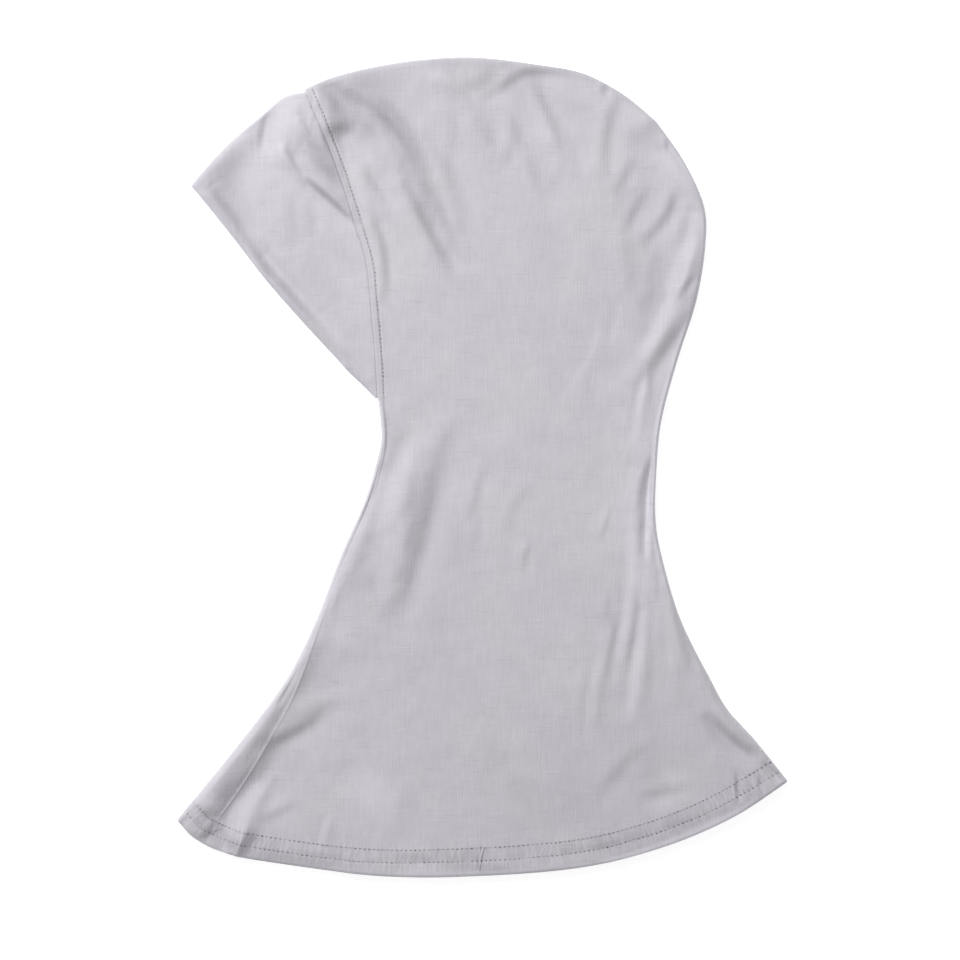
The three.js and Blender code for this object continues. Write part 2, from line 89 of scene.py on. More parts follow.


# Folds: name, x and y of the line's start, of its middle and of its end, half width, rise, drop, painted
# shade. The painted shade darkens the colour along the line, and below zero it is painted highlight.
# Lines and widths were listed one by one. Rise, drop and painted shade aren't chosen by hand: a program
# fitted them to the photo. Rows named patch, broad, light, dark or soft are swells and patches of painted
# shade and highlight rather than single folds.
FOLD_ROWS: tuple[tuple, ...] = (
    ("crown front fold", -74.5, 199.0, -47.4, 180.5, -29.9, 143.4, 3.8, 1.16, -1.98, 0.15),
    ("crown front tail", -42.1, 152.9, -29.4, 125.3, -16.2, 101.5, 3.3, 0.43, 1.16, 0.123),
    ("temple hollow", -67.0, 180.5, -77.1, 179.9, -85.1, 176.8, 3.6, 0.84, 0.97, 0.12),
    ("temple swell", -51.7, 173.0, -63.9, 166.7, -74.5, 159.8, 7.0, -1.34, -1.18, 0.017),
    ("brow soft", -63.9, 159.8, -57.5, 147.6, -48.0, 134.9, 3.0, 0.8, 0.6, 0.025),
    ("seam side fold", -59.6, 132.8, -52.7, 114.7, -51.7, 87.2, 2.8, 0.3, 0.93, 0.056),
    ("crown top soft", 8.2, 211.2, -2.4, 204.3, -11.9, 200.6, 4.0, 0.72, 0.18, 0.128),
    ("crown middle soft", -14.0, 194.2, -15.6, 170.4, -17.8, 143.9, 3.6, -0.19, 0.0, 0.074),
    ("crown middle dip", -1.9, 180.5, 1.3, 175.2, 6.1, 170.9, 3.2, 0.3, -0.29, 0.059),
    ("crown top fold", 45.3, 209.1, 22.0, 209.1, 8.7, 200.1, 2.7, 1.98, 0.88, 0.065),
    ("crown slant", 25.2, 201.7, 36.3, 184.7, 44.8, 156.1, 3.5, -0.53, 0.99, 0.083),
    ("crown slant front", 13.0, 185.8, 20.4, 168.8, 29.4, 141.2, 3.3, 0.95, -0.32, 0.071),
    ("crown slant broad", 30.5, 188.9, 39.0, 167.7, 44.3, 146.5, 8.0, 0.0, 0.2, -0.06),
    ("back crown fold", 72.9, 198.0, 65.5, 178.3, 64.4, 152.9, 3.7, 0.67, 0.75, 0.037),
    ("back crown second", 80.8, 163.0, 73.9, 151.8, 69.2, 142.3, 3.2, 0.11, 0.4, 0.083),
    ("back crown third", 90.4, 147.6, 81.4, 134.9, 75.0, 121.1, 3.2, -0.76, 0.54, 0.015),
    ("back crown fourth", 102.0, 148.1, 97.3, 132.2, 83.5, 116.9, 3.2, -0.44, 0.83, 0.09),
    ("back crown swell", 93.0, 183.6, 85.1, 177.8, 76.1, 172.0, 5.0, 0.47, 0.73, 0.0),
    ("back edge nick", 98.8, 175.7, 97.8, 172.0, 96.2, 167.7, 1.6, 0.23, 0.76, -0.011),
    ("top edge nick", 66.5, 203.3, 64.4, 200.1, 62.3, 196.9, 2.0, -0.11, 0.84, -0.014),
    ("back edge pucker", 117.4, 133.8, 112.6, 135.4, 108.9, 138.6, 1.5, -0.61, 0.3, 0.0),
    ("nape ridge", 114.7, 122.2, 103.1, 93.5, 83.5, 55.9, 3.0, 1.45, -0.38, -0.055),
    ("nape small", 113.7, 102.0, 109.4, 97.3, 105.7, 90.9, 2.0, -0.39, 0.66, -0.02),
    ("nape fold", 111.0, 82.4, 97.3, 65.5, 80.8, 41.1, 4.3, 0.12, 1.49, -0.042),
    ("nape branch", 89.3, 52.7, 89.3, 43.7, 89.8, 33.1, 2.4, -0.38, 0.31, 0.039),
    ("nape ridge low", 87.2, 50.1, 82.9, 35.2, 80.3, 13.0, 2.3, -0.27, -0.48, 0.0),
    ("nape soft upper", 73.9, 121.1, 77.1, 107.3, 80.3, 88.2, 4.2, 0.28, 0.31, 0.052),
    ("nape soft lower", 92.0, 93.0, 86.1, 86.7, 84.0, 74.5, 4.0, 0.11, 0.4, 0.039),
    ("nape faint", 61.2, 79.8, 55.4, 57.5, 39.0, 33.1, 2.6, -0.17, 0.0, -0.081),
    ("nape faint back", 71.8, 89.3, 70.2, 76.6, 66.5, 66.0, 2.6, -0.43, -0.2, 0.0),
    ("neck back fold", 94.1, 7.7, 85.1, -12.5, 84.0, -44.8, 2.5, -1.17, 0.0, -0.05),
    ("neck back ridge", 92.5, 2.4, 88.8, -16.2, 86.7, -50.6, 2.0, -1.18, -2.0, -0.029),
    ("neck back faint", 67.6, -19.3, 64.9, -29.4, 61.7, -39.0, 1.8, 0.47, 0.2, 0.0),
    ("neck front fold", -15.1, 25.7, -32.6, -25.7, -45.8, -78.2, 6.2, 0.0, 1.67, -0.034),
    ("neck front core", -26.8, -7.2, -35.2, -41.6, -45.3, -76.1, 3.6, 0.67, -0.34, 0.018),
    ("neck front ridge", -36.8, 16.7, -47.4, -12.5, -53.3, -34.7, 5.0, 0.08, -2.09, -0.026),
    ("chin soft", -42.7, 25.2, -45.8, 14.0, -51.1, 1.9, 3.2, 0.17, -0.18, 0.03),
    ("throat soft", -57.0, -30.5, -63.9, -48.5, -72.9, -66.5, 4.0, -0.44, 0.48, 0.022),
    ("throat low", -75.0, -60.2, -77.6, -68.1, -80.3, -77.1, 2.5, 0.56, 0.0, -0.021),
    ("middle faint one", 2.4, 2.9, -4.0, -12.5, -7.7, -31.5, 3.6, 0.58, 0.48, -0.04),
    ("middle faint two", 25.7, -6.6, 15.6, -20.4, 11.9, -35.2, 4.0, 0.47, 0.1, 0.028),
    ("middle faint low", -4.5, -28.4, -3.4, -36.3, -4.5, -45.8, 3.0, 0.1, 0.41, -0.021),
    ("middle dimple", 25.7, -40.5, 22.0, -47.4, 23.6, -53.8, 2.3, 0.42, 0.4, 0.035),
    ("lower back first", 72.3, -76.6, 68.1, -94.6, 64.4, -114.2, 2.6, 0.38, 0.59, 0.015),
    ("lower back second", 82.4, -70.2, 79.2, -87.7, 75.0, -107.3, 2.8, 0.64, 0.52, -0.013),
    ("lower back ridge one", 77.6, -33.7, 77.6, -66.5, 70.2, -102.6, 3.1, -0.15, -0.41, -0.09),
    ("lower back ridge two", 85.1, -50.6, 83.5, -93.0, 76.6, -136.5, 3.1, 0.13, -0.77, -0.067),
    ("lower back third", 86.7, -92.0, 87.7, -113.2, 84.5, -135.4, 3.2, 0.14, 0.11, 0.04),
    ("lower back soft", 65.5, -67.6, 66.0, -75.0, 67.0, -83.5, 3.2, 0.39, 0.49, 0.0),
    ("lower back thin", 90.9, -54.9, 92.0, -63.3, 92.0, -72.9, 1.8, 0.0, 0.29, -0.016),
    ("back flank fold", 99.9, -69.7, 104.7, -88.2, 110.5, -107.9, 2.8, 0.86, 1.23, 0.048),
    ("back flank ridge", 97.8, -75.0, 100.4, -98.3, 102.6, -124.8, 3.2, 0.61, -0.26, 0.0),
    ("lower ridge three", 61.2, -101.5, 58.0, -123.8, 57.0, -143.9, 2.7, 0.11, -0.86, 0.037),
    ("flare back fold", 145.5, -154.5, 130.6, -143.4, 119.0, -129.6, 3.4, -2.26, 2.06, 0.061),
    ("hem back crease", 133.8, -160.9, 134.4, -169.3, 135.4, -178.3, 1.2, -0.79, 1.02, 0.0),
    ("hem back crease two", 146.0, -163.5, 146.5, -169.3, 148.1, -176.2, 1.2, -0.33, 0.47, 0.01),
    ("hem corner back", 159.8, -165.1, 155.0, -159.8, 150.3, -154.0, 2.0, 0.12, 2.3, 0.0),
    ("low oblique", 82.9, -147.1, 73.9, -158.2, 59.6, -175.7, 4.0, 0.0, 0.35, 0.106),
    ("low level soft", 111.0, -167.7, 96.7, -172.0, 82.9, -173.0, 3.0, -0.22, 0.88, -0.036),
    ("flare front fold", -84.5, -129.6, -97.8, -139.7, -117.4, -149.2, 3.6, -0.1, 1.38, 0.04),
    ("flare front deep", -113.7, -146.5, -123.8, -164.0, -138.6, -185.2, 4.6, 1.72, 0.51, 0.0),
    ("flare front upper", -87.2, -90.9, -90.4, -106.8, -100.4, -124.3, 4.2, 0.0, 0.37, -0.01),
    ("flare front ridge", -116.3, -166.2, -124.8, -181.0, -131.7, -199.0, 4.0, 0.34, -1.88, -0.109),
    ("hem front crease", -121.1, -190.5, -125.3, -199.5, -131.2, -207.5, 3.3, 1.12, 1.06, 0.021),
    ("hem front step", -132.8, -209.6, -129.1, -199.5, -123.8, -184.7, 1.3, 0.0, 0.9, 0.0),
    ("hem front step low", -129.6, -208.6, -125.3, -199.5, -122.2, -188.4, 2.6, -0.3, 0.2, 0.04),
    ("hem corner front", -136.5, -185.8, -144.4, -184.2, -151.3, -179.4, 2.6, -0.99, 0.0, 0.054),
    ("hem corner low", -141.2, -187.9, -145.5, -192.7, -150.3, -197.4, 2.6, 1.11, 0.67, 0.033),
    ("flare small", -109.4, -161.9, -113.7, -168.8, -117.4, -175.7, 1.8, 0.51, 0.0, -0.008),
    ("hem front nick", -81.9, -184.2, -83.5, -192.1, -85.1, -201.1, 2.0, 0.0, -0.67, -0.023),
    ("flare level soft", -98.3, -177.3, -108.4, -182.1, -119.5, -186.8, 3.0, 0.59, 0.6, -0.022),
    ("band fold upper", -104.7, 170.9, -100.4, 160.9, -92.0, 150.3, 2.4, 0.42, 1.1, 0.084),
    ("band fold long", -66.5, 128.5, -80.8, 142.3, -95.1, 154.0, 2.0, 1.7, 1.57, 0.047),
    ("band fold second", -76.1, 149.2, -84.5, 158.7, -94.1, 168.3, 3.6, -0.99, -1.17, 0.145),
    ("band fold top", -95.7, 185.2, -93.0, 176.2, -85.6, 168.3, 2.1, 1.45, 0.54, 0.056),
    ("band seam shade", -85.6, 180.5, -81.4, 171.5, -76.6, 161.9, 1.5, -1.5, -0.37, 0.015),
    ("band top crease", -97.3, 193.7, -97.3, 179.4, -96.7, 166.7, 2.6, 0.5, 0.21, -0.008),
    ("band top ridge", -101.5, 195.3, -105.2, 179.9, -111.0, 158.2, 7.0, 1.71, -1.13, -0.043),
    ("band top line", -114.2, 186.8, -116.3, 177.3, -116.9, 166.7, 2.2, -0.92, 0.8, 0.012),
    ("band tip soft", -125.3, 176.2, -134.4, 162.4, -140.2, 145.5, 7.0, 1.9, 0.0, 0.0),
    ("band edge roll", -147.6, 147.6, -105.2, 92.0, -63.9, 42.7, 3.8, 1.88, 3.11, 0.04),
    ("band edge tip", -146.5, 148.7, -138.1, 139.7, -126.9, 124.3, 3.6, 0.56, 0.09, 0.15),
    ("band soft one", -102.0, 146.5, -101.0, 133.3, -102.0, 114.7, 4.0, 0.12, 0.17, 0.079),
    ("band soft two", -94.1, 141.2, -91.4, 131.7, -90.9, 121.1, 3.4, 0.0, 0.39, 0.06),
    ("band soft three", -66.0, 108.4, -75.5, 113.7, -87.2, 121.1, 4.0, 0.32, 0.0, 0.038),
    ("crown front broad", -90.4, 196.4, -69.2, 182.6, -42.7, 138.6, 9.0, -3.15, -1.49, 0.04),
    ("crown front inner", -72.9, 204.8, -45.3, 182.6, -25.7, 122.7, 9.0, -0.37, 1.2, 0.096),
    ("crown front deep", -48.0, 179.4, -69.2, 188.9, -85.1, 187.9, 6.0, 1.42, -0.11, 0.077),
    ("crown edge front", -30.5, 208.0, -64.9, 201.7, -87.2, 195.3, 5.0, 0.0, -0.18, 0.104),
    ("crown edge top", 33.1, 206.4, -6.6, 210.7, -41.1, 207.0, 6.0, 0.67, -1.67, 0.144),
    ("crown edge back", 84.5, 181.5, 58.0, 198.5, 25.2, 204.8, 6.0, -1.29, -0.98, -0.011),
    ("band tip broad", -129.6, 174.1, -138.1, 152.9, -148.1, 137.5, 9.0, -0.21, 0.58, 0.07),
    ("band tip upper", -124.3, 167.7, -141.2, 156.1, -151.8, 149.7, 7.0, -0.25, 0.57, 0.037),
    ("band edge inner", -60.7, 42.7, -96.7, 81.9, -134.9, 124.3, 5.0, 2.55, -0.42, 0.062),
    ("back upper broad", 91.4, 169.9, 105.7, 141.2, 111.0, 108.4, 9.0, -0.58, -0.15, -0.09),
    ("back upper inner", 81.4, 148.7, 96.2, 114.7, 98.3, 76.6, 8.0, -2.18, -1.28, -0.01),
    ("back nape broad", 99.4, 64.4, 88.8, 24.6, 83.5, -8.2, 8.0, -0.46, 1.41, -0.129),
    ("back neck broad", 81.4, -0.8, 83.5, -34.7, 93.0, -72.9, 8.0, 0.48, 1.62, -0.15),
    ("throat edge", -51.1, 33.1, -49.0, 19.3, -51.1, 4.5, 4.0, 2.5, 0.45, 0.031),
    ("front neck broad", -31.0, 0.3, -39.5, -39.0, -54.3, -82.4, 8.0, 2.42, 0.86, 0.026),
    ("front flare upper", -69.2, -47.4, -81.9, -82.4, -101.0, -118.5, 6.0, 0.26, 0.67, -0.059),
    ("front flare broad", -79.8, -92.0, -108.4, -142.3, -143.4, -176.8, 9.0, -1.15, 2.01, 0.093),
    ("front flare outer", -88.2, -92.0, -116.9, -138.6, -149.7, -179.9, 5.0, 0.38, 1.02, 0.042),
    ("front flare inner", -71.3, -92.0, -94.6, -145.0, -128.5, -179.9, 7.0, 0.34, 0.55, 0.043),
    ("back flare broad", 115.3, -102.6, 130.1, -126.9, 147.1, -146.0, 7.0, 1.52, 1.15, 0.063),
    ("crown arm upper", -61.7, 202.7, -44.8, 190.0, -33.1, 167.7, 4.5, -0.54, 0.0, -0.051),
    ("crown arm middle", -39.5, 179.4, -26.8, 152.9, -18.3, 122.2, 4.5, -0.83, -0.65, 0.047),
    ("crown arm low", -31.0, 151.8, -20.4, 127.5, -10.9, 105.2, 3.5, -1.44, -0.91, 0.102),
    ("crown root one", -69.2, 177.3, -80.8, 194.2, -90.4, 198.5, 5.0, 1.45, -2.97, 0.035),
    ("crown root two", -82.9, 202.7, -74.5, 190.0, -72.3, 167.7, 5.0, -0.3, -0.24, 0.067),
    ("crown root three", -72.3, 167.7, -63.9, 148.7, -56.4, 127.5, 4.0, 1.26, 0.0, -0.031),
    ("band seam broad", -88.2, 187.9, -85.1, 167.7, -72.3, 141.2, 5.0, 2.9, -0.84, 0.08),
    ("band seam low", -69.2, 132.8, -85.1, 146.5, -96.7, 162.4, 4.0, 1.19, 1.03, 0.091),
    ("band tip edge", -120.0, 108.4, -138.1, 128.5, -149.7, 143.4, 5.0, -0.65, 3.65, 0.0),
    ("band tip inner", -141.2, 158.2, -131.7, 143.4, -116.9, 124.3, 7.0, -0.49, 0.26, 0.101),
    ("band edge low", -72.3, 54.3, -94.6, 76.6, -113.7, 97.8, 3.5, -2.3, 2.64, -0.019),
    ("crown top low", -6.6, 190.0, -16.2, 202.7, -27.8, 207.0, 4.0, 1.6, -1.04, 0.014),
    ("crown top rim", 44.3, 209.1, 22.0, 209.1, 9.3, 212.3, 4.0, -0.5, -0.64, 0.069),
    ("crown middle fold", 13.5, 187.9, 17.8, 173.0, 9.3, 158.2, 3.5, -0.56, 0.41, 0.054),
    ("crown back fold", 36.8, 188.9, 44.3, 173.0, 47.4, 154.0, 4.0, 0.94, 0.36, 0.035),
    ("back rim upper", 95.1, 167.7, 106.8, 154.0, 115.3, 138.1, 4.0, 0.94, 0.52, -0.037),
    ("back rim middle", 113.2, 134.9, 105.7, 115.8, 96.2, 92.5, 4.0, -1.21, -0.21, -0.073),
    ("back rim inner", 96.2, 124.3, 89.8, 108.4, 85.6, 88.2, 4.0, 0.31, 0.23, -0.014),
    ("nape rim upper", 104.7, 88.2, 96.2, 72.3, 86.7, 53.3, 3.5, 1.12, -0.61, 0.0),
    ("neck rim low", 87.7, -1.9, 86.7, -23.1, 88.8, -43.2, 4.0, 0.0, 1.4, -0.06),
    ("front neck edge", -52.2, -1.9, -59.6, -23.1, -70.2, -47.4, 3.5, 0.1, -0.33, -0.064),
    ("front neck dark", -67.0, -49.6, -60.7, -60.2, -53.3, -70.8, 6.0, 0.23, 1.09, 0.043),
    ("flare crease wide", -69.2, -123.8, -93.5, -128.0, -116.9, -146.0, 4.0, 1.39, 0.19, 0.033),
    ("flare edge dark", -109.4, -138.6, -130.6, -164.0, -151.8, -190.5, 5.0, 1.75, 0.76, 0.033),
    ("flare edge low", -130.6, -161.9, -141.2, -176.8, -146.5, -195.8, 5.0, 0.79, 0.56, 0.027),
    ("flare edge light", -128.5, -174.6, -133.8, -187.4, -131.7, -203.3, 3.0, -1.75, -1.16, -0.023),
    ("hem corner dark", -147.6, -177.8, -154.0, -187.4, -150.8, -198.0, 4.5, 1.5, -1.13, 0.044),
    ("flare back dark", 98.3, -172.5, 83.5, -155.6, 62.3, -145.0, 6.0, -0.14, -0.82, 0.034),
    ("throat inner", -50.1, 34.2, -48.0, 18.3, -51.1, 2.4, 4.0, -1.27, -1.17, 0.037),
    ("hem left dark", -72.9, -213.3, -117.9, -207.5, -156.1, -195.8, 5.0, -2.16, -0.42, 0.061),
    ("hem middle dark", 0.8, -207.0, -11.9, -207.0, -24.6, -206.4, 4.0, -0.35, 0.23, 0.096),
    ("hem middle light", -23.6, -208.0, -35.2, -208.0, -48.0, -207.5, 4.0, -0.67, 0.86, -0.057),
    ("hem right dark", 137.5, -179.9, 72.9, -201.1, 30.5, -206.4, 3.6, -0.76, -0.29, 0.049),
    ("hem right edge", 147.1, -175.7, 83.5, -203.3, 41.1, -211.7, 2.4, -0.89, -0.24, 0.0),
    ("hem left edge", -70.2, -214.9, -102.0, -212.8, -128.5, -209.6, 2.4, -1.39, -0.7, 0.016),
    ("front neck patch", -52.2, -53.8, -61.7, -58.0, -73.4, -62.3, 8.0, 1.09, 0.63, 0.045),
    ("band middle soft", -77.6, 88.2, -96.7, 105.2, -113.7, 108.4, 10.0, 0.96, -0.95, 0.069),
    ("band seam shadow", -96.7, 177.3, -87.2, 167.7, -75.5, 146.5, 7.0, 0.72, -0.08, 0.144),
    ("crown wide shadow", -37.4, 179.4, -58.6, 195.3, -77.6, 203.8, 8.0, -0.59, 0.33, 0.058),
    ("crown arm wide", -44.8, 190.0, -28.9, 166.7, -18.3, 134.9, 6.0, 1.21, 0.6, -0.038),
    ("crown arm inner", -24.6, 167.7, -14.0, 146.5, -10.9, 124.3, 5.0, 0.41, 0.58, 0.046),
    ("crown rim top", 46.4, 208.0, 9.3, 212.3, -22.5, 212.3, 2.5, 0.57, -0.09, 0.07),
    ("throat rim", -52.7, 33.1, -50.6, 19.3, -52.7, 4.5, 1.6, -1.54, 0.41, 0.017),
    ("neck front rim", -57.5, -10.3, -70.2, -39.0, -87.2, -81.4, 2.0, -1.61, 0.19, -0.017),
    ("flare front rim", -93.5, -99.4, -109.4, -125.9, -130.6, -153.4, 2.0, -0.33, -0.22, 0.025),
    ("neck back light", 88.8, 45.8, 84.5, 14.0, 86.7, -28.4, 6.0, 0.0, 0.0, -0.114),
    ("neck back patch", 89.8, -49.6, 80.3, -43.2, 68.6, -43.2, 8.0, 0.0, -0.17, -0.036),
    ("back upper light", 112.1, 143.4, 104.7, 158.2, 90.9, 167.7, 5.0, -0.88, -1.04, -0.065),
    ("back rim light", 115.3, 133.8, 115.3, 120.0, 106.8, 96.7, 3.5, -0.17, 0.27, -0.044),
    ("flare low light", -43.7, -176.8, -58.6, -171.5, -75.5, -160.9, 12.0, -0.51, 0.25, -0.123),
    ("back flare patch", 83.5, -150.3, 92.0, -164.0, 94.1, -179.9, 8.0, -1.3, 0.47, 0.023),
    ("crown patch", 34.7, 154.0, 39.0, 143.4, 34.7, 132.8, 6.0, -0.41, 0.0, 0.021),
    ("band tip low edge", -149.7, 148.7, -140.2, 135.9, -125.3, 117.9, 3.0, 0.63, 0.0, 0.046),
    ("band fold root", -122.2, 179.4, -120.0, 174.1, -123.2, 167.7, 3.5, -0.51, 0.53, 0.053),
    ("crown knot", -82.9, 184.7, -77.6, 177.3, -80.8, 168.8, 4.5, -0.82, 1.18, 0.057),
    ("band seam line", -74.5, 150.8, -85.1, 160.3, -94.6, 169.9, 3.0, 1.62, 0.0, 0.017),
    ("band middle patch", -70.2, 98.8, -78.7, 111.6, -92.5, 122.2, 9.0, 0.13, 0.0, 0.035),
    ("band low patch", -86.1, 88.2, -77.6, 79.8, -72.3, 67.0, 7.0, 0.48, -0.18, 0.032),
    ("crown arm foot", -24.6, 120.0, -18.3, 108.4, -14.0, 96.7, 3.5, 0.0, 0.12, 0.039),
    ("crown arm side", -45.8, 157.1, -41.6, 149.7, -42.7, 141.2, 4.0, -0.65, 0.59, 0.025),
    ("crown centre fold", -4.5, 194.2, 0.8, 178.3, 9.3, 162.4, 6.0, 0.0, 1.12, 0.039),
    ("crown top slit", 23.1, 205.9, 9.3, 198.5, -2.4, 195.3, 2.6, -0.26, 0.29, 0.012),
    ("seam light upper", -69.2, 154.0, -61.7, 133.8, -57.5, 108.4, 3.0, 0.84, 0.0, 0.013),
    ("throat light", -54.3, 2.4, -59.6, -12.5, -67.0, -33.7, 2.2, -1.78, 0.61, -0.009),
    ("flare rim dark", -97.8, -102.6, -104.1, -115.3, -110.5, -125.9, 1.8, 1.62, 1.69, 0.0),
    ("flare strip dark", -104.1, -132.2, -116.9, -147.1, -125.3, -159.8, 3.0, -1.16, -0.08, 0.018),
    ("flare strip light", -110.5, -146.0, -122.2, -160.9, -132.8, -174.6, 3.0, -0.28, 0.33, 0.014),
    ("flare strip inner", -101.0, -145.0, -113.7, -160.9, -120.0, -170.4, 3.5, -0.97, 0.16, 0.039),
    ("hem front tone", -135.9, -190.5, -143.4, -188.4, -151.8, -179.9, 5.0, -1.88, 0.7, 0.029),
    ("hem front light", -138.1, -191.6, -135.9, -199.0, -134.9, -206.4, 3.5, -0.9, -1.65, 0.0),
    ("hem front back", -116.9, -205.4, -123.2, -201.1, -127.5, -193.7, 3.5, 0.47, -1.24, 0.014),
    ("hem low dark", -69.2, -217.0, -96.7, -214.9, -116.9, -211.7, 2.0, -1.7, 0.36, 0.0),
    ("hem low middle", 19.9, -212.8, -3.4, -212.8, -22.5, -210.7, 3.0, -0.2, 0.44, 0.024),
    ("hem right light", 149.2, -176.8, 104.7, -201.1, 62.3, -209.6, 2.0, 1.6, 0.1, 0.0),
    ("back rim point", 113.2, 132.8, 110.0, 134.9, 104.7, 138.1, 4.0, -0.47, 0.0, 0.0),
    ("back rim dark", 116.3, 141.2, 110.0, 143.4, 102.6, 143.4, 4.0, 0.0, 0.37, 0.022),
    ("neck low strip light", -48.0, -28.4, -43.7, -43.2, -45.8, -55.9, 3.0, -0.54, -0.36, -0.012),
    ("neck low strip dark", -38.4, -2.9, -38.4, -17.8, -45.8, -28.4, 3.0, 0.17, 0.32, 0.031),
    ("back low light", 89.8, -60.2, 92.0, -77.1, 92.0, -97.3, 3.0, 0.32, -0.38, -0.038),
    ("back edge light", 89.8, -6.1, 87.7, -17.8, 83.5, -30.5, 4.0, 0.26, -0.4, -0.024),
    ("flare low soft", 62.3, -170.4, 39.0, -171.5, 9.3, -171.5, 12.0, 0.64, -0.41, 0.079),
    ("flare centre soft", 25.2, -176.8, 9.3, -160.9, -6.6, -150.3, 14.0, -0.36, -0.36, 0.054),
    ("neck level light", 30.5, 16.2, 9.3, 18.3, -6.6, 16.2, 10.0, -0.75, 0.0, -0.044),
    ("nape patch light", 78.2, 46.9, 66.5, 43.7, 57.0, 39.5, 6.0, -0.26, -0.3, -0.047),
)
FOLDS = tuple(
    Fold(name, (start_x, start_y), (middle_x, middle_y), (end_x, end_y), *sizes)
    for name, start_x, start_y, middle_x, middle_y, end_x, end_y, *sizes in FOLD_ROWS
)

# Broad swellings: x, y, reach, rise
SWELLINGS: tuple[tuple[float, float, float, float], ...] = (
    (19.4, 130.4, 85.0, 1.0),
    (-64.8, 165.2, 32.0, 0.7),
    (-25.9, -17.5, 26.0, 0.6),
    (64.8, -143.6, 60.0, 0.6),
    (-81.0, -143.6, 45.0, 0.4),
)

# Edges of the flat cap as shares of its width and its height
CROWN_EDGE: tuple[Pair, ...] = (
    (0.2079, 0.9612), (0.2520, 0.9752), (0.3191, 0.9880), (0.4010, 0.9973), (0.4894, 1.0000),
    (0.5941, 0.9909), (0.6645, 0.9805), (0.7283, 0.9562), (0.7840, 0.9220),
)
BACK_EDGE: tuple[Pair, ...] = (
    (0.7840, 0.9220), (0.8298, 0.8733), (0.8625, 0.8197), (0.8658, 0.7710), (0.8511, 0.7028),
    (0.8200, 0.6297), (0.7938, 0.5566), (0.7856, 0.4957), (0.7840, 0.4348), (0.7954, 0.3861),
    (0.8249, 0.3130), (0.8740, 0.2400), (0.9018, 0.2034), (0.9460, 0.1669),
    (1.0000, 0.1169),
)
FACE_SEAM: tuple[Pair, ...] = (
    (0.2079, 0.9612), (0.2308, 0.9220), (0.2553, 0.8782), (0.2750, 0.8368), (0.2930, 0.7929),
    (0.3110, 0.7467), (0.3191, 0.6882), (0.3257, 0.6297), (0.3290, 0.5810),
)
NECK_FOLD: tuple[Pair, ...] = (
    (0.3290, 0.5810), (0.3339, 0.5347), (0.3257, 0.5043), (0.3077, 0.4592), (0.2684, 0.3922),
    (0.2275, 0.3130), (0.1784, 0.2400), (0.1064, 0.1669), (0.0311, 0.0974), (0.0000, 0.0694),
)
HEM_EDGE: tuple[Pair, ...] = (
    (0.0000, 0.0694), (0.0311, 0.0463), (0.0884, 0.0268), (0.2013, 0.0122), (0.3486, 0.0006),
    (0.4894, 0.0012), (0.6268, 0.0085), (0.7218, 0.0207), (0.8265, 0.0451), (0.9182, 0.0767),
    (1.0000, 0.1169),
)
BAND_FOLD: tuple[Pair, ...] = (
    (0.2079, 0.9570), (0.1735, 0.9505), (0.1391, 0.9295), (0.0802, 0.8915), (0.0213, 0.8429),
)
BAND_FREE_EDGE: tuple[Pair, ...] = (
    (0.0213, 0.8429), (0.0426, 0.8246), (0.0949, 0.7759), (0.1457, 0.7272), (0.2029, 0.6784),
    (0.2635, 0.6297), (0.3257, 0.5822),
)

# Line of the hem's join, x and y from its top to the edge
HEM_JOIN: tuple[Pair, ...] = ((0.8, -201.1), (-0.5, -207.0), (-1.9, -214.4))


def ease(value: np.ndarray | float) -> np.ndarray:
    """Smooth step from 0 to 1 for values from 0 to 1."""
    t = np.clip(value, 0.0, 1.0)
    return t * t * (3.0 - 2.0 * t)


def uneven_wave(run: np.ndarray, pitch: float, sway: float, sway_length: float) -> np.ndarray:
    """A wave along a seam whose pitch tightens and loosens.

    Args:
        run: Places along the seam in millimetres.
        pitch: Turns of the wave in radians a millimetre.
        sway: How far it runs ahead and behind, in radians.
        sway_length: Millimetres for each radian of that.

    Returns:
        Values from -1 to 1.
    """
    return np.sin(run * pitch + sway * np.sin(run / sway_length))


def bump(value: np.ndarray, centre: float, width: float) -> np.ndarray:
    """A rounded bump of height 1 round a centre."""
    return np.exp(-(((value - centre) / width) ** 2))


@dataclass(frozen=True)
class Ridge:
    """A rounded line that runs beside a seam.

    Args:
        place: Distance of its middle from the seam in millimetres.
        width: Half width in millimetres.
        rise: Height in millimetres, below zero for a groove.
    """

    place: float
    width: float
    rise: float

    def at(self, distance: np.ndarray) -> np.ndarray:
        """Heights at distances from the seam."""
        return self.rise * bump(distance, self.place, self.width)


FACE_GROOVE = Ridge(0.0, 0.35, -0.16)
FACE_WELT = Ridge(0.7, 0.45, 0.16)
FACE_HOLLOW = Ridge(1.1, 0.9, -0.12)
STITCH_GROOVE = Ridge(0.0, 0.42, -0.46)
STITCH_SWELL = Ridge(1.5, 1.0, 1.0)
NECK_GROOVE = Ridge(0.0, 0.35, -0.20)
NECK_WELT = Ridge(0.9, 0.6, 0.30)
NECK_LIP = Ridge(0.9, 0.6, 0.04)
NECK_HOLLOW = Ridge(0.9, 0.7, -0.26)
HEM_ROWS = (Ridge(0.5, 0.5, 0.06), Ridge(7.2, 0.5, 0.10), Ridge(3.8, 2.4, 0.10))
HEM_PUCKERS = (Ridge(3.8, 2.6, 1.0), Ridge(10.0, 2.0, 1.0), Ridge(-2.2, 2.0, 0.7))
JOIN_WELT = Ridge(1.0, 0.8, 0.22)
JOIN_GROOVE = Ridge(0.5, 0.5, -0.50)


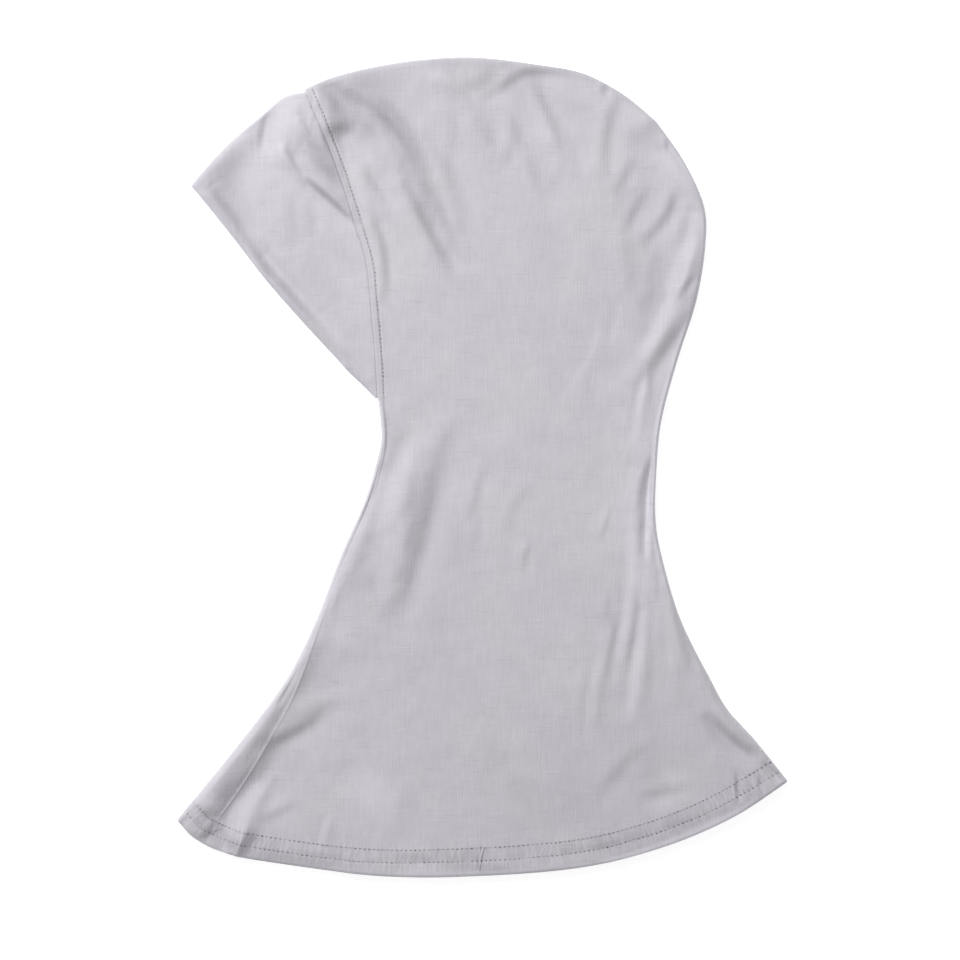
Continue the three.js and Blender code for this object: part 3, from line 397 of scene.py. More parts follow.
def chain_reading(points: np.ndarray, chain: np.ndarray) -> tuple[np.ndarray, np.ndarray, np.ndarray]:
    """Reads where points lie beside a chain of straight pieces.

    Args:
        points: Flat points, one a row.
        chain: The chain's points, one a row.

    Returns:
        The distance to the chain, the share of the chain at the nearest place and the side, +1 or -1.
    """
    nearest = np.full(len(points), 1e9)
    share = np.zeros(len(points))
    side = np.ones(len(points))
    steps = len(chain) - 1
    for index in range(steps):
        start, end = chain[index], chain[index + 1]
        run = end - start
        offset = points - start
        along = np.clip(offset @ run / max(float(run @ run), 1e-12), 0.0, 1.0)
        gap = offset - along[:, None] * run
        distance = np.hypot(gap[:, 0], gap[:, 1])
        closer = distance < nearest
        nearest[closer] = distance[closer]
        share[closer] = (index + along[closer]) / steps
        turn = run[0] * offset[:, 1] - run[1] * offset[:, 0]
        side[closer] = np.where(turn[closer] >= 0.0, 1.0, -1.0)
    return nearest, share, side


class EdgeCurve:
    """A smooth curve through edge points, read by its share of length."""

    def __init__(self, shares: tuple[Pair, ...], width: float, height: float) -> None:
        """Lays the curve.

        Args:
            shares: Points as shares of the flat width and height.
            width: Flat width in millimetres.
            height: Flat height in millimetres.
        """
        control = np.array(shares) * [width, height] - [width / 2.0, height / 2.0]
        first, last = control[:1], control[-1:]
        padded = np.concatenate([first, control, last])
        t = np.linspace(0.0, 1.0, 60, endpoint=False)[:, None]
        pieces = []
        for p0, p1, p2, p3 in zip(padded, padded[1:], padded[2:], padded[3:]):
            v0, v1 = (p2 - p0) / 2.0, (p3 - p1) / 2.0
            cubic = (2 * p1 - 2 * p2 + v0 + v1) * t**3 + (3 * p2 - 3 * p1 - 2 * v0 - v1) * t**2
            pieces.append(cubic + v0 * t + p1)
        self.points = np.concatenate([*pieces, last])
        runs = np.hypot(*np.diff(self.points, axis=0).T)
        self.lengths = np.concatenate([[0.0], np.cumsum(runs)])
        self.length = float(self.lengths[-1])

    def at(self, share: np.ndarray | float) -> np.ndarray:
        """Points at shares of the length, one a row."""
        reach = np.atleast_1d(np.clip(share, 0.0, 1.0)) * self.length
        return np.stack([np.interp(reach, self.lengths, self.points[:, k]) for k in (0, 1)], -1)

    def tangent(self, share: np.ndarray | float) -> np.ndarray:
        """Unit directions at shares of the length, one a row."""
        share = np.atleast_1d(share)
        run = self.at(np.minimum(share + 0.002, 1.0)) - self.at(np.maximum(share - 0.002, 0.0))
        return run / np.linalg.norm(run, axis=1, keepdims=True)

    def chain(self, count: int) -> np.ndarray:
        """The curve as a chain of even straight pieces."""
        return self.at(np.linspace(0.0, 1.0, count + 1))


@dataclass
class CapPlan:
    """The flat plan of the cap and the relief of its upper layer.

    Lengths are in millimetres, shares are of the edge or side that they run along.

    Args:
        flat_height: Height of the flat cap.
        flat_width: Width of the flat cap.
        cloth: Thickness of one layer.
        doubled: Thickness of the doubled cloth.
        hem_depth: Depth of the hem at its front corner.
        hem_deeper: How much deeper it is behind that.
        hem_deepening: Shares of the hem where it begins to get deeper, is deepest and begins to get shallow.
        chin_wrap: How far the lower panel shows over the front fold at the chin.
        throat_wrap: The same at the throat.
        hem_wrap: The same at the hem.
        wrap_start: Share of the fold below the chin where it starts to widen towards the hem.
        puff: Height of the hollow and the lower layer.
        edge_roll: Width over which the upper layer rolls down to an edge.
        edge_slope: Width of the gentle slope inside that.
        edge_share: Share of the height that the roll takes.
        edge_round: Width over which the hem's lower edge is rounded.
        edge_gap: Gap between the layers' edges.
        edge_blend: Width over which an edge changes from one layer to the doubled cloth.
        fold_fade: Width over which folds fade out at an edge.
        chin_share: Share of the front edge at which the chin lies.
        hem_turn: Share of the hem over which it bends to meet the side edges.
        hem_region: Share of the height below the middle where the hem's relief begins.
        front_stretch: Slant of the hem's front end, as a length for each millimetre of depth.
        back_stretch: Slant of its back end.
        strip_top: Width of the topstitched strip at the forehead.
        strip_low: Its width at the chin.
        strip_narrowing: Share of the seam over which it gets there.
        strip_rounding: How far its two edges are rounded, at the seam and at the topstitching.
        pucker_height: Height of the hem's puckers.
        fine_pucker: Height of its finer puckers.
        seam_start: Share over which a seam's relief begins.
        seam_end: Share over which it ends.
        corner_step: Share of the face seam left free above the band.
        pieces: Straight pieces in each closed edge's chain.
        face_pieces: Straight pieces in the face seam's chain.
        hem_pieces: Straight pieces in the hem edge's chain.
        wave_count: Number of slight waves in the cloth.
        wave_lengths: Their shortest and longest length.
        wave_height: Their height, before their length is counted in.
        soft_seed: Seed of their directions.
    """

    flat_height: float = 435.0
    flat_width: float = 324.0
    cloth: float = 1.0
    doubled: float = 1.8
    hem_depth: float = 13.8
    hem_deeper: float = 1.5
    hem_deepening: tuple[float, float, float] = (0.25, 0.45, 0.93)
    chin_wrap: float = 1.6
    throat_wrap: float = 2.8
    hem_wrap: float = 15.5
    wrap_start: float = 0.45
    puff: float = 8.0
    edge_roll: float = 1.9
    edge_slope: float = 34.0
    edge_share: float = 0.95
    edge_round: float = 1.6
    edge_gap: float = 0.1
    edge_blend: float = 9.0
    fold_fade: float = 4.0
    chin_share: float = 0.4
    hem_turn: float = 0.07
    hem_region: float = 0.30
    front_stretch: float = 1.16
    back_stretch: float = 1.12
    strip_top: float = 4.0
    strip_low: float = 3.5
    strip_narrowing: float = 0.35
    strip_rounding: Pair = (0.7, 1.1)
    pucker_height: float = 0.06
    fine_pucker: float = 0.05
    seam_start: float = 0.012
    seam_end: float = 0.015
    corner_step: float = 0.010
    pieces: int = 90
    face_pieces: int = 80
    hem_pieces: int = 120
    wave_count: int = 70
    wave_lengths: Pair = (9.0, 60.0)
    wave_height: float = 0.0016
    soft_seed: int = 7

    def __post_init__(self) -> None:
        """Lays the edge curves and the fold lines."""
        size = (self.flat_width, self.flat_height)
        self.crown = EdgeCurve(CROWN_EDGE, *size)
        self.back = EdgeCurve(BACK_EDGE, *size)
        self.face_seam = EdgeCurve(FACE_SEAM, *size)
        self.neck_fold = EdgeCurve(NECK_FOLD, *size)
        self.hem_edge = EdgeCurve(HEM_EDGE, *size)
        self.band_fold = EdgeCurve(BAND_FOLD, *size)
        self.band_free_edge = EdgeCurve(BAND_FREE_EDGE, *size)
        closed = (self.crown, self.back, self.neck_fold, self.band_fold)
        self.closed_chains = [curve.chain(self.pieces) for curve in closed]
        self.face_chain = self.face_seam.chain(self.face_pieces)
        self.hem_front = 1.0 - self.hem_depth * self.front_stretch / self.neck_fold.length
        self.hem_back = 1.0 - self.hem_depth * self.back_stretch / self.back.length
        self.neck_seam = self._neck_seam_chain()
        self.hem_chain = self.hem_edge.chain(self.hem_pieces)
        chance = np.random.default_rng(self.soft_seed)
        length = chance.uniform(*self.wave_lengths, self.wave_count)
        turn = chance.uniform(0.0, math.pi, self.wave_count)
        self.wave = np.stack([np.cos(turn), np.sin(turn)], -1) * (2.0 * math.pi / length)[:, None]
        self.wave_phase = chance.uniform(0.0, 2.0 * math.pi, self.wave_count)
        self.wave_rise = self.wave_height * length**0.75

    def hem_reach(self, share: np.ndarray) -> np.ndarray:
        """Depths of the hem, a little more behind its front corner."""
        begin, full, end = self.hem_deepening
        deeper = ease((share - begin) / (full - begin)) * (1.0 - ease((share - end) / self.hem_turn))
        return self.hem_depth + self.hem_deeper * deeper

    def hem_top(self, share: np.ndarray) -> np.ndarray:
        """Points of the line between the panels and the hem, by the share from front to back."""
        edge = self.hem_edge.at(share)
        tangent = self.hem_edge.tangent(share)
        inner = edge + np.stack([-tangent[:, 1], tangent[:, 0]], -1) * self.hem_reach(share)[:, None]
        front = edge + self.neck_fold.at(self.hem_front) - self.hem_edge.at(0.0)
        rear = edge + self.back.at(self.hem_back) - self.hem_edge.at(1.0)
        inner += (front - inner) * (1.0 - ease(share / self.hem_turn))[:, None]
        inner += (rear - inner) * ease((share - 1.0 + self.hem_turn) / self.hem_turn)[:, None]
        return inner

    def front_edge(self, row: np.ndarray) -> np.ndarray:
        """Points of the hood's front edge, down the face seam and then the neck fold."""
        face = self.face_seam.at(row / self.chin_share)
        neck = self.neck_fold.at(self.hem_front * (row - self.chin_share) / (1.0 - self.chin_share))
        return np.where((row <= self.chin_share)[:, None], face, neck)

    def back_edge(self, row: np.ndarray) -> np.ndarray:
        """Points of the hood's back edge, from the crown down to the hem."""
        return self.back.at(self.hem_back * row)

    def plan(self, across: np.ndarray, row: np.ndarray) -> np.ndarray:
        """Flat points of the hood between its four edges.

        Args:
            across: Shares from the front edge to the back edge.
            row: Shares from the crown down to the hem line.

        Returns:
            Flat points, one a row.
        """
        s, r = across[:, None], row[:, None]
        zero, one = np.zeros(1), np.ones(1)
        corners = (
            self.front_edge(zero) * (1 - s) * (1 - r)
            + self.back_edge(zero) * s * (1 - r)
            + self.front_edge(one) * (1 - s) * r
            + self.back_edge(one) * s * r
        )
        sides = self.front_edge(row) * (1 - s) + self.back_edge(row) * s
        ends = self.crown.at(across) * (1 - r) + self.hem_top(across) * r
        return sides + ends - corners

    def row_width(self, row: np.ndarray) -> np.ndarray:
        """Straight lengths of rows from front to back."""
        return np.linalg.norm(self.front_edge(row) - self.back_edge(row), axis=1)

    def wrap(self, row: np.ndarray) -> np.ndarray:
        """How far the front neck seam lies in from the fold along a row."""
        t = np.clip((row - self.chin_share) / (1.0 - self.chin_share), 0.0, 1.0)
        throat = (self.throat_wrap - self.chin_wrap) * np.sin(np.pi * np.clip(t / 0.5, 0.0, 1.0))
        widening = ease((t - self.wrap_start) / (1.0 - self.wrap_start))
        return self.chin_wrap + throat + (self.hem_wrap - self.chin_wrap) * widening

    def _neck_seam_chain(self) -> np.ndarray:
        """The line of the front neck seam as it shows on the upper side."""
        row = np.linspace(self.chin_share + 0.004, 1.0, self.pieces)
        return self.plan(self.wrap(row) / self.row_width(row), row)

    def band_line(self, across: np.ndarray, share: np.ndarray) -> np.ndarray:
        """Flat points of the face band.

        Args:
            across: Shares from the face seam to the free edge.
            share: Shares from the forehead fold to the chin.

        Returns:
            Flat points, one a row.
        """
        fold = self.band_fold.at(across)
        seam = self.face_seam.at(self.corner_step + (1.0 - self.corner_step) * share)
        free = self.band_free_edge.at(share)
        straight = seam + (free - seam) * across[:, None]
        ends = self.band_fold.at(0.0) + (self.band_fold.at(1.0) - self.band_fold.at(0.0)) * across[:, None]
        return straight + (fold - ends) * ((1.0 - share) ** 3)[:, None]

    def hem_line(self, along: np.ndarray, down: np.ndarray) -> np.ndarray:
        """Flat points of the hem, by shares along it and down it."""
        top, edge = self.hem_top(along), self.hem_edge.at(along)
        return top + (edge - top) * down[:, None]

    def hem_reading(self, points: np.ndarray) -> np.ndarray:
        """Places along the hem from its front end and down it from its upper row, two numbers a point."""
        distance, share, _ = chain_reading(points, self.hem_chain)
        return np.stack([share * self.hem_edge.length, self.hem_reach(share) - distance], -1)

    def edge_distance(self, points: np.ndarray) -> np.ndarray:
        """Distances to the nearest edge where the two layers meet."""
        readings = [chain_reading(points, chain)[0] for chain in self.closed_chains]
        return np.minimum.reduce(readings)

    def edge_low(self, points: np.ndarray) -> np.ndarray:
        """Heights at which the upper layer ends at an edge: close over the lower layer's cloth."""
        distance, _, side = chain_reading(points, self.face_chain)
        band = np.where(points[:, 1] > 0.0, 1.0 - side * distance / self.edge_blend, 0.0)
        reach = self.hem_depth - chain_reading(points, self.hem_chain)[0]
        hem = np.where(points[:, 1] < 0.0, 1.0 + reach / self.edge_blend, 0.0)
        return self.cloth + self.edge_gap + (self.doubled - self.cloth) * ease(np.maximum(band, hem))

    def relief(self, points: np.ndarray) -> np.ndarray:
        """Heights of the folds, swellings and slight waves of the upper layer."""
        height = np.zeros(len(points))
        for x, y, reach, rise in SWELLINGS:
            height += rise * np.exp(-((points[:, 0] - x) ** 2 + (points[:, 1] - y) ** 2) / reach**2)
        for fold in FOLDS:
            near, ridge, fall = self._beside(fold, points)
            height[near] += fold.rise * ridge - fold.drop * fall
        height += np.sin(points @ self.wave.T + self.wave_phase) @ self.wave_rise
        return height

    def painted_shade(self, points: np.ndarray) -> np.ndarray:
        """Painted shade along the folds as shares of the colour, painted highlight below zero."""
        value = np.zeros(len(points))
        for fold in FOLDS:
            near, ridge, _ = self._beside(fold, points)
            value[near] += fold.painted_shade * ridge
        return value

    def _beside(self, fold: Fold, points: np.ndarray) -> tuple[np.ndarray, np.ndarray, np.ndarray]:
        """Reads a fold's two shapes at the points near it.

        Args:
            fold: The fold.
            points: Flat points, one a row.

        Returns:
            Which points are near, the rounded ridge and the fall across the line at each of them.
        """
        t = np.linspace(0.0, 1.0, 15)[:, None]
        start, middle, end = (np.array(p) for p in (fold.start, fold.middle, fold.end))
        via = 2.0 * middle - (start + end) / 2.0
        chain = start * (1 - t) ** 2 + via * 2 * t * (1 - t) + end * t**2
        reach = 4.0 * fold.width
        near = np.all((points > chain.min(0) - reach) & (points < chain.max(0) + reach), axis=1)
        distance, share, side = chain_reading(points[near], chain)
        taper = np.sin(np.pi * share) ** 0.6
        q = distance / fold.width
        return near, taper * np.exp(-(q**2)), taper * side * q * np.exp(0.5 - q**2 / 2.0)

    def dome(self, points: np.ndarray) -> np.ndarray:
        """Heights of the upper layer's outer side with its folds, before the seams are sewn in."""
        distance = self.edge_distance(points)
        t = 1.0 - np.clip(distance / self.edge_roll, 0.0, 1.0)
        slope = 1.0 - (1.0 - np.clip(distance / self.edge_slope, 0.0, 1.0)) ** 2
        low = self.edge_low(points)
        full = self.puff + self.cloth - low
        rise = full * (self.edge_share * np.sqrt(1.0 - t * t) + (1.0 - self.edge_share) * slope)
        return low + rise + self.relief(points) * ease(distance / self.fold_fade)

    def surface(self, points: np.ndarray) -> np.ndarray:
        """Heights of the whole upper side, folds, seams and stitched rows included.

        Args:
            points: Flat points, one a row.

        Returns:
            Heights in millimetres.
        """
        sewn = self.face_seam_relief(points) + self.neck_seam_relief(points) + self.hem_relief(points)
        return self.dome(points) + sewn

    def face_seam_relief(self, points: np.ndarray) -> np.ndarray:
        """The sewn line of the face seam and the raised strip under its topstitching."""
        distance, share, side = chain_reading(points, self.face_chain)
        along = share * self.face_seam.length
        inside = side > 0.0
        width = self.strip_width(share)
        near, far = self.strip_rounding
        strip = ease(distance / near) * (1.0 - ease(distance - width + far))
        ripple = uneven_wave(along, 1.31, 0.9, 7.0) + 0.7 * np.sin(along * 2.3 + 1.7)
        from_row = distance - width
        topstitch = STITCH_GROOVE.at(from_row) + (0.10 + 0.05 * ripple) * STITCH_SWELL.at(from_row)
        sewn = (0.30 + 0.06 * ripple) * strip + FACE_WELT.at(distance) + topstitch
        height = np.where(inside, sewn, FACE_HOLLOW.at(distance)) + FACE_GROOVE.at(distance)
        return height * ease(share / self.seam_start) * self._fading(share)

    def strip_width(self, share: np.ndarray) -> np.ndarray:
        """Distance from the face seam to its topstitching, by the share down the seam."""
        return self.strip_top + (self.strip_low - self.strip_top) * ease(share / self.strip_narrowing)

    def neck_seam_relief(self, points: np.ndarray) -> np.ndarray:
        """The sewn line of the front neck seam and the ridge beside it."""
        distance, share, side = chain_reading(points, self.neck_seam)
        behind = NECK_WELT.at(distance)
        before = NECK_LIP.at(distance) + NECK_HOLLOW.at(distance)
        return (np.where(side > 0.0, behind, before) + NECK_GROOVE.at(distance)) * self._fading(share)

    def _fading(self, share: np.ndarray) -> np.ndarray:
        """1 along a seam and down to 0 over its last piece."""
        return 1.0 - ease((share - 1.0 + self.seam_end) / self.seam_end)

    def hem_relief(self, points: np.ndarray) -> np.ndarray:
        """The two stitched rows of the hem, its puckers and its join."""
        low = points[:, 1] < -self.hem_region * self.flat_height
        height = np.zeros(len(points))
        distance, share, _ = chain_reading(points[low], self.hem_chain)
        reach = self.hem_reach(share) - distance
        run = share * self.hem_edge.length
        rows = sum(row.at(reach) for row in HEM_ROWS)
        pucker = uneven_wave(run, 1.19, 1.6, 17.0) + 0.8 * uneven_wave(run, 0.47, 2.0, 29.0)
        fine = uneven_wave(run, 2.17, 2.1, 7.0)
        sewn = sum(strip.at(reach) for strip in HEM_PUCKERS)
        height[low] = (self.pucker_height * pucker + self.fine_pucker * fine) * sewn - rows
        height[low] -= ease((self.edge_round - distance) / self.edge_round) ** 2
        aside, share, side = chain_reading(points[low], np.array(HEM_JOIN))
        join = (share > 0.0) & (share < 1.0)
        height[low] += join * np.where(side > 0.0, JOIN_WELT.at(aside), JOIN_GROOVE.at(aside))
        return height


def cloth_grid(
    name: str, columns: int, rows: int, place: Place, facing: Facing, ring: bool = False
) -> bpy.types.Object:
    """Makes a sheet from a grid whose points a function places.

    Args:
        name: Name of the object.
        columns: Cells across.
        rows: Cells down.
        place: Takes shares across and down and returns points in millimetres.
        facing: Which way the outer side looks.
        ring: True where the first and last columns meet.

    Returns:
        The object, one layer thick, its place in its mesh.
    """
    bm = bmesh.new()
    layer = bm.loops.layers.uv.new("cloth")
    bmesh.ops.create_grid(bm, x_segments=columns, y_segments=rows, size=1.0, calc_uvs=True)
    bm.verts.ensure_lookup_table()
    flat = np.array([v.co[:2] for v in bm.verts])
    across, down = (flat[:, 0] + 1.0) / 2.0, (1.0 - flat[:, 1]) / 2.0
    points = place(np.clip(across, 0.0, 1.0), np.clip(down, 0.0, 1.0)) * MM
    for vertex, point in zip(bm.verts, points):
        vertex.co = point
    for face in bm.faces:
        for loop in face.loops:
            loop[layer].uv = (loop.vert.co.x, loop.vert.co.y)
    if ring:
        bmesh.ops.remove_doubles(bm, verts=bm.verts, dist=1e-6)
    bm.normal_update()
    turn = sum(face.normal.z * face.calc_area() for face in bm.faces if is_main(face, facing))
    if turn * facing.value < 0.0:
        bmesh.ops.reverse_faces(bm, faces=bm.faces)
    for face in bm.faces:
        face.smooth = True
    for edge in bm.edges:
        edge.smooth = not edge.is_boundary
    mesh = bpy.data.meshes.new(name)
    bm.to_mesh(mesh)
    bm.free()
    obj = bpy.data.objects.new(name, mesh)
    bpy.context.scene.collection.objects.link(obj)
    return obj


def is_main(face: bmesh.types.BMFace, facing: Facing) -> bool:
    """True for a face of the layer that tells which way the sheet looks."""
    high = face.calc_center_median().z > MIDDLE_HEIGHT
    return high if facing is Facing.UP else not high


def thicken(obj: bpy.types.Object, thickness: float) -> None:
    """Gives a sheet its thickness towards its inner side.

    Args:
        obj: The sheet.
        thickness: Thickness in millimetres.
    """
    solid = obj.modifiers.new("cloth thickness", "SOLIDIFY")
    solid.thickness = thickness * MM
    solid.offset = -1.0
    solid.use_rim = True


def write_rows(obj: bpy.types.Object, name: str, values: np.ndarray) -> None:
    """Stores a flat reading of each point as a UV map in metres.

    Args:
        obj: The piece.
        name: Name of the map.
        values: Two numbers a vertex in millimetres.
    """
    layer = obj.data.uv_layers.new(name=name)
    corners = np.zeros(len(obj.data.loops), int)
    obj.data.loops.foreach_get("vertex_index", corners)
    layer.data.foreach_set("uv", (values[corners] * MM).astype(np.float32).ravel())


def write_painted_shade(obj: bpy.types.Object, plan: CapPlan) -> None:
    """Stores the painted shade and highlight along the upper side's folds as a point attribute."""
    points = vertex_points(obj)
    values = np.where(points[:, 2] > plan.doubled, plan.painted_shade(points[:, :2]), 0.0)
    layer = obj.data.attributes.new("painted_shade", "FLOAT", "POINT")
    layer.data.foreach_set("value", values.astype(np.float32))


def vertex_points(obj: bpy.types.Object) -> np.ndarray:
    """The piece's points in millimetres, one a row."""
    flat = np.zeros(len(obj.data.vertices) * 3)
    obj.data.vertices.foreach_get("co", flat)
    return flat.reshape(-1, 3) / MM


def sheet_area(obj: bpy.types.Object) -> float:
    """The area of a one-layer sheet in square metres."""
    return sum(polygon.area for polygon in obj.data.polygons)


@dataclass
class NodeTree:
    """Short calls for a material's nodes."""

    tree: bpy.types.NodeTree

    def add(self, kind: str, **settings: object) -> bpy.types.Node:
        """Adds a node and sets its properties or its inputs by name."""
        node = self.tree.nodes.new(kind)
        for key, value in settings.items():
            if hasattr(node, key):
                setattr(node, key, value)
            else:
                node.inputs[key.replace("_", " ")].default_value = value
        return node

    def link(self, source: bpy.types.NodeSocket, target: bpy.types.NodeSocket) -> None:
        """Joins two sockets."""
        self.tree.links.new(source, target)

    def noise(self, place: bpy.types.NodeSocket, scale: float, detail: float) -> bpy.types.NodeSocket:
        """Soft noise, about 0.5."""
        node = self.add("ShaderNodeTexNoise", Scale=scale, Detail=detail, Roughness=0.55)
        self.link(place, node.inputs["Vector"])
        return node.outputs["Fac"]

    def streaks(
        self, place: bpy.types.NodeSocket, scale: tuple[float, float, float], low: float, high: float
    ) -> bpy.types.NodeSocket:
        """Stretched noise cut to 0 below one level and 1 above another.

        Args:
            place: Where the pattern is read.
            scale: Stretch of the pattern along X, Y and Z.
            low: The level that gives 0.
            high: The level that gives 1.

        Returns:
            The streaks' strength.
        """
        mapping = self.add("ShaderNodeMapping")
        mapping.inputs["Scale"].default_value = scale
        self.link(place, mapping.inputs["Vector"])
        fac = self.noise(mapping.outputs["Vector"], 1.0, 2.0)
        span = self.add("ShaderNodeMapRange", clamp=True)
        self.link(fac, span.inputs["Value"])
        span.inputs["From Min"].default_value = low
        span.inputs["From Max"].default_value = high
        return span.outputs["Result"]

    def tinted(self, tint: tuple[float, float, float], value: bpy.types.NodeSocket) -> bpy.types.NodeSocket:
        """A colour made lighter and darker by a value."""
        node = self.add("ShaderNodeMix", data_type="RGBA", blend_type="MULTIPLY")
        node.inputs["Factor"].default_value = 1.0
        node.inputs["A"].default_value = (*tint, 1.0)
        self.link(value, node.inputs["B"])
        return node.outputs["Result"]

    def between(self, value: bpy.types.NodeSocket, low: float, high: float) -> bpy.types.NodeSocket:
        """A value kept between two levels."""
        return self.math("MAXIMUM", self.math("MINIMUM", value, high), low)

    def math(self, operation: str, a: object, b: object = 0.0, c: object = 0.0) -> bpy.types.NodeSocket:
        """Adds a math node on numbers or sockets and returns its result."""
        node = self.tree.nodes.new("ShaderNodeMath")
        node.operation = operation
        for socket, value in zip(node.inputs, (a, b, c)):
            if isinstance(value, bpy.types.NodeSocket):
                self.link(value, socket)
            else:
                socket.default_value = float(value)
        return node.outputs[0]


@dataclass(frozen=True)
class StitchRow:
    """A row of needle holes drawn on one of a piece's row maps.

    Args:
        chart: Name of the map: along the row, and away from its line, in metres.
        aside: Distance of the row from the map's line.
        start: Where the row begins.
        end: Where it ends.
        pitch: Length of a stitch.
        hole: Radius of a hole.
        line: Darkness of the drawn-in line between the holes.
        shape: Width of a hole against its length.
        dot: Darkness of the holes.
    """

    chart: str
    aside: float
    start: float
    end: float
    pitch: float = 0.00254
    hole: float = 0.00044
    line: float = 0.08
    shape: float = 0.8
    dot: float = 0.42


@dataclass(frozen=True)
class Gathers:
    """Tiny ribs across a stitched strip, drawn on one of a piece's row maps as bump and as painted light and
    shade.

    Args:
        chart: Name of the map.
        low: Where the strip begins, away from the map's line, in metres.
        high: Where it ends.
        fade: Width over which the ribs fade out.
        pitch: Usual distance between ribs.
        tone: How much lighter and darker they are, painted light and shade of the ribs beside their bump.
        lean: How far the ribs slant, as a run for each step away from the line.
        regular: Share of evenly spaced ribs, the rest being uneven ones.
    """

    chart: str
    low: float
    high: float
    fade: float
    pitch: float
    tone: float
    lean: float = 0.0
    regular: float = 0.0


@dataclass(frozen=True)
class JerseyFinish:
    """Pale silver-lilac jersey with fine upright ribs and short slubs across, darkened by the painted shade
    of the folds.

    Args:
        name: Name of the material.
        tint: Base colour, linear.
        wale: Distance between the ribs in metres.
        rib: How strongly the ribs show.
        rows: Rows of needle holes.
        gathers: Gathered strips beside the rows.
    """

    name: str
    tint: tuple[float, float, float]
    wale: float = 0.0016
    rib: float = 1.0
    rows: tuple[StitchRow, ...] = ()
    gathers: tuple[Gathers, ...] = ()

    def build(self) -> bpy.types.Material:
        """Makes the material."""
        material = bpy.data.materials.new(self.name)
        material.use_nodes = True
        nodes = NodeTree(material.node_tree)
        shader = material.node_tree.nodes["Principled BSDF"]
        shader.inputs["Roughness"].default_value = 0.92
        shader.inputs["Specular IOR Level"].default_value = 0.2
        shader.inputs["Sheen Weight"].default_value = 0.15
        shader.inputs["Sheen Roughness"].default_value = 0.5
        place = nodes.add("ShaderNodeTexCoord").outputs["Object"]
        patch = nodes.noise(place, 24.0, 2.0)
        # Painted shade and painted highlight along the folds, stored on each piece as a point attribute.
        painted_shade = nodes.add("ShaderNodeAttribute", attribute_name="painted_shade").outputs["Fac"]
        # Pattern, the reading of it that leaves the colour as it is, tone, height
        patterns = (
            (self._ribs(nodes, place), 0.0, 0.040 * self.rib, 0.50 * self.rib),
            (nodes.streaks(place, (62.0, 1050.0, 0.0), 0.60, 0.72), 0.0, 0.075, 0.45),
            (nodes.streaks(place, (75.0, 900.0, 40.0), 0.60, 0.74), 0.0, -0.060, -0.35),
            (nodes.streaks(place, (820.0, 75.0, 10.0), 0.40, 0.66), 0.5, 0.045, 0.35),
            (nodes.noise(place, 95.0, 3.0), 0.5, 0.090, 0.0),
            (patch, 0.5, 0.075, 0.0),
            (nodes.noise(place, 150.0, 3.0), 0.0, 0.0, 2.6),
            (painted_shade, 0.0, -1.0, 0.0),
        )
        value, height = 0.980, 0.0
        for pattern, level, tone, rise in patterns:
            value = nodes.math("MULTIPLY_ADD", nodes.math("SUBTRACT", pattern, level), tone, value)
            height = nodes.math("MULTIPLY_ADD", pattern, rise, height)
        for strip in self.gathers:
            ribbing = self._gathered(nodes, strip)
            value = nodes.math("MULTIPLY_ADD", ribbing, strip.tone, value)
            height = nodes.math("MULTIPLY_ADD", ribbing, 8.0 * strip.tone, height)
        for row in self.rows:
            dots, line = self._holes(nodes, row)
            value = nodes.math("MULTIPLY_ADD", dots, -row.dot, value)
            value = nodes.math("MULTIPLY_ADD", line, -row.line, value)
            height = nodes.math("MULTIPLY_ADD", dots, -4.0 * row.dot, height)
        tint = nodes.tinted(self.tint, value)
        warmer = nodes.add("ShaderNodeHueSaturation", Hue=0.52, Saturation=0.70, Value=1.0)
        nodes.link(tint, warmer.inputs["Color"])
        mixed = nodes.add("ShaderNodeMix", data_type="RGBA", blend_type="MIX")
        nodes.link(nodes.math("MULTIPLY_ADD", patch, 2.2, -0.6), mixed.inputs["Factor"])
        nodes.link(tint, mixed.inputs["A"])
        nodes.link(warmer.outputs["Color"], mixed.inputs["B"])
        nodes.link(mixed.outputs["Result"], shader.inputs["Base Color"])
        relief = nodes.add("ShaderNodeBump", Strength=0.5, Distance=0.0002)
        nodes.link(height, relief.inputs["Height"])
        nodes.link(relief.outputs["Normal"], shader.inputs["Normal"])
        return material

    def _ribs(self, nodes: NodeTree, place: bpy.types.NodeSocket) -> bpy.types.NodeSocket:
        """Fine upright ribs that come and go, 0 to 1."""
        shift = nodes.noise(place, 45.0, 2.0)
        split = nodes.add("ShaderNodeSeparateXYZ")
        nodes.link(place, split.inputs[0])
        moved = nodes.math("MULTIPLY_ADD", shift, 0.004, split.outputs["X"])
        wave = nodes.math("SINE", nodes.math("MULTIPLY", moved, 2.0 * math.pi / self.wale))
        shown = nodes.streaks(place, (70.0, 34.0, 0.0), 0.42, 0.68)
        return nodes.math("MULTIPLY", nodes.math("MULTIPLY_ADD", wave, 0.5, 0.5), shown)

    def _chart(self, nodes: NodeTree, name: str) -> tuple[bpy.types.NodeSocket, bpy.types.NodeSocket]:
        """The two readings of a row map: along the row and away from its line."""
        source = nodes.add("ShaderNodeUVMap", uv_map=name)
        split = nodes.add("ShaderNodeSeparateXYZ")
        nodes.link(source.outputs["UV"], split.inputs[0])
        return split.outputs["X"], split.outputs["Y"]

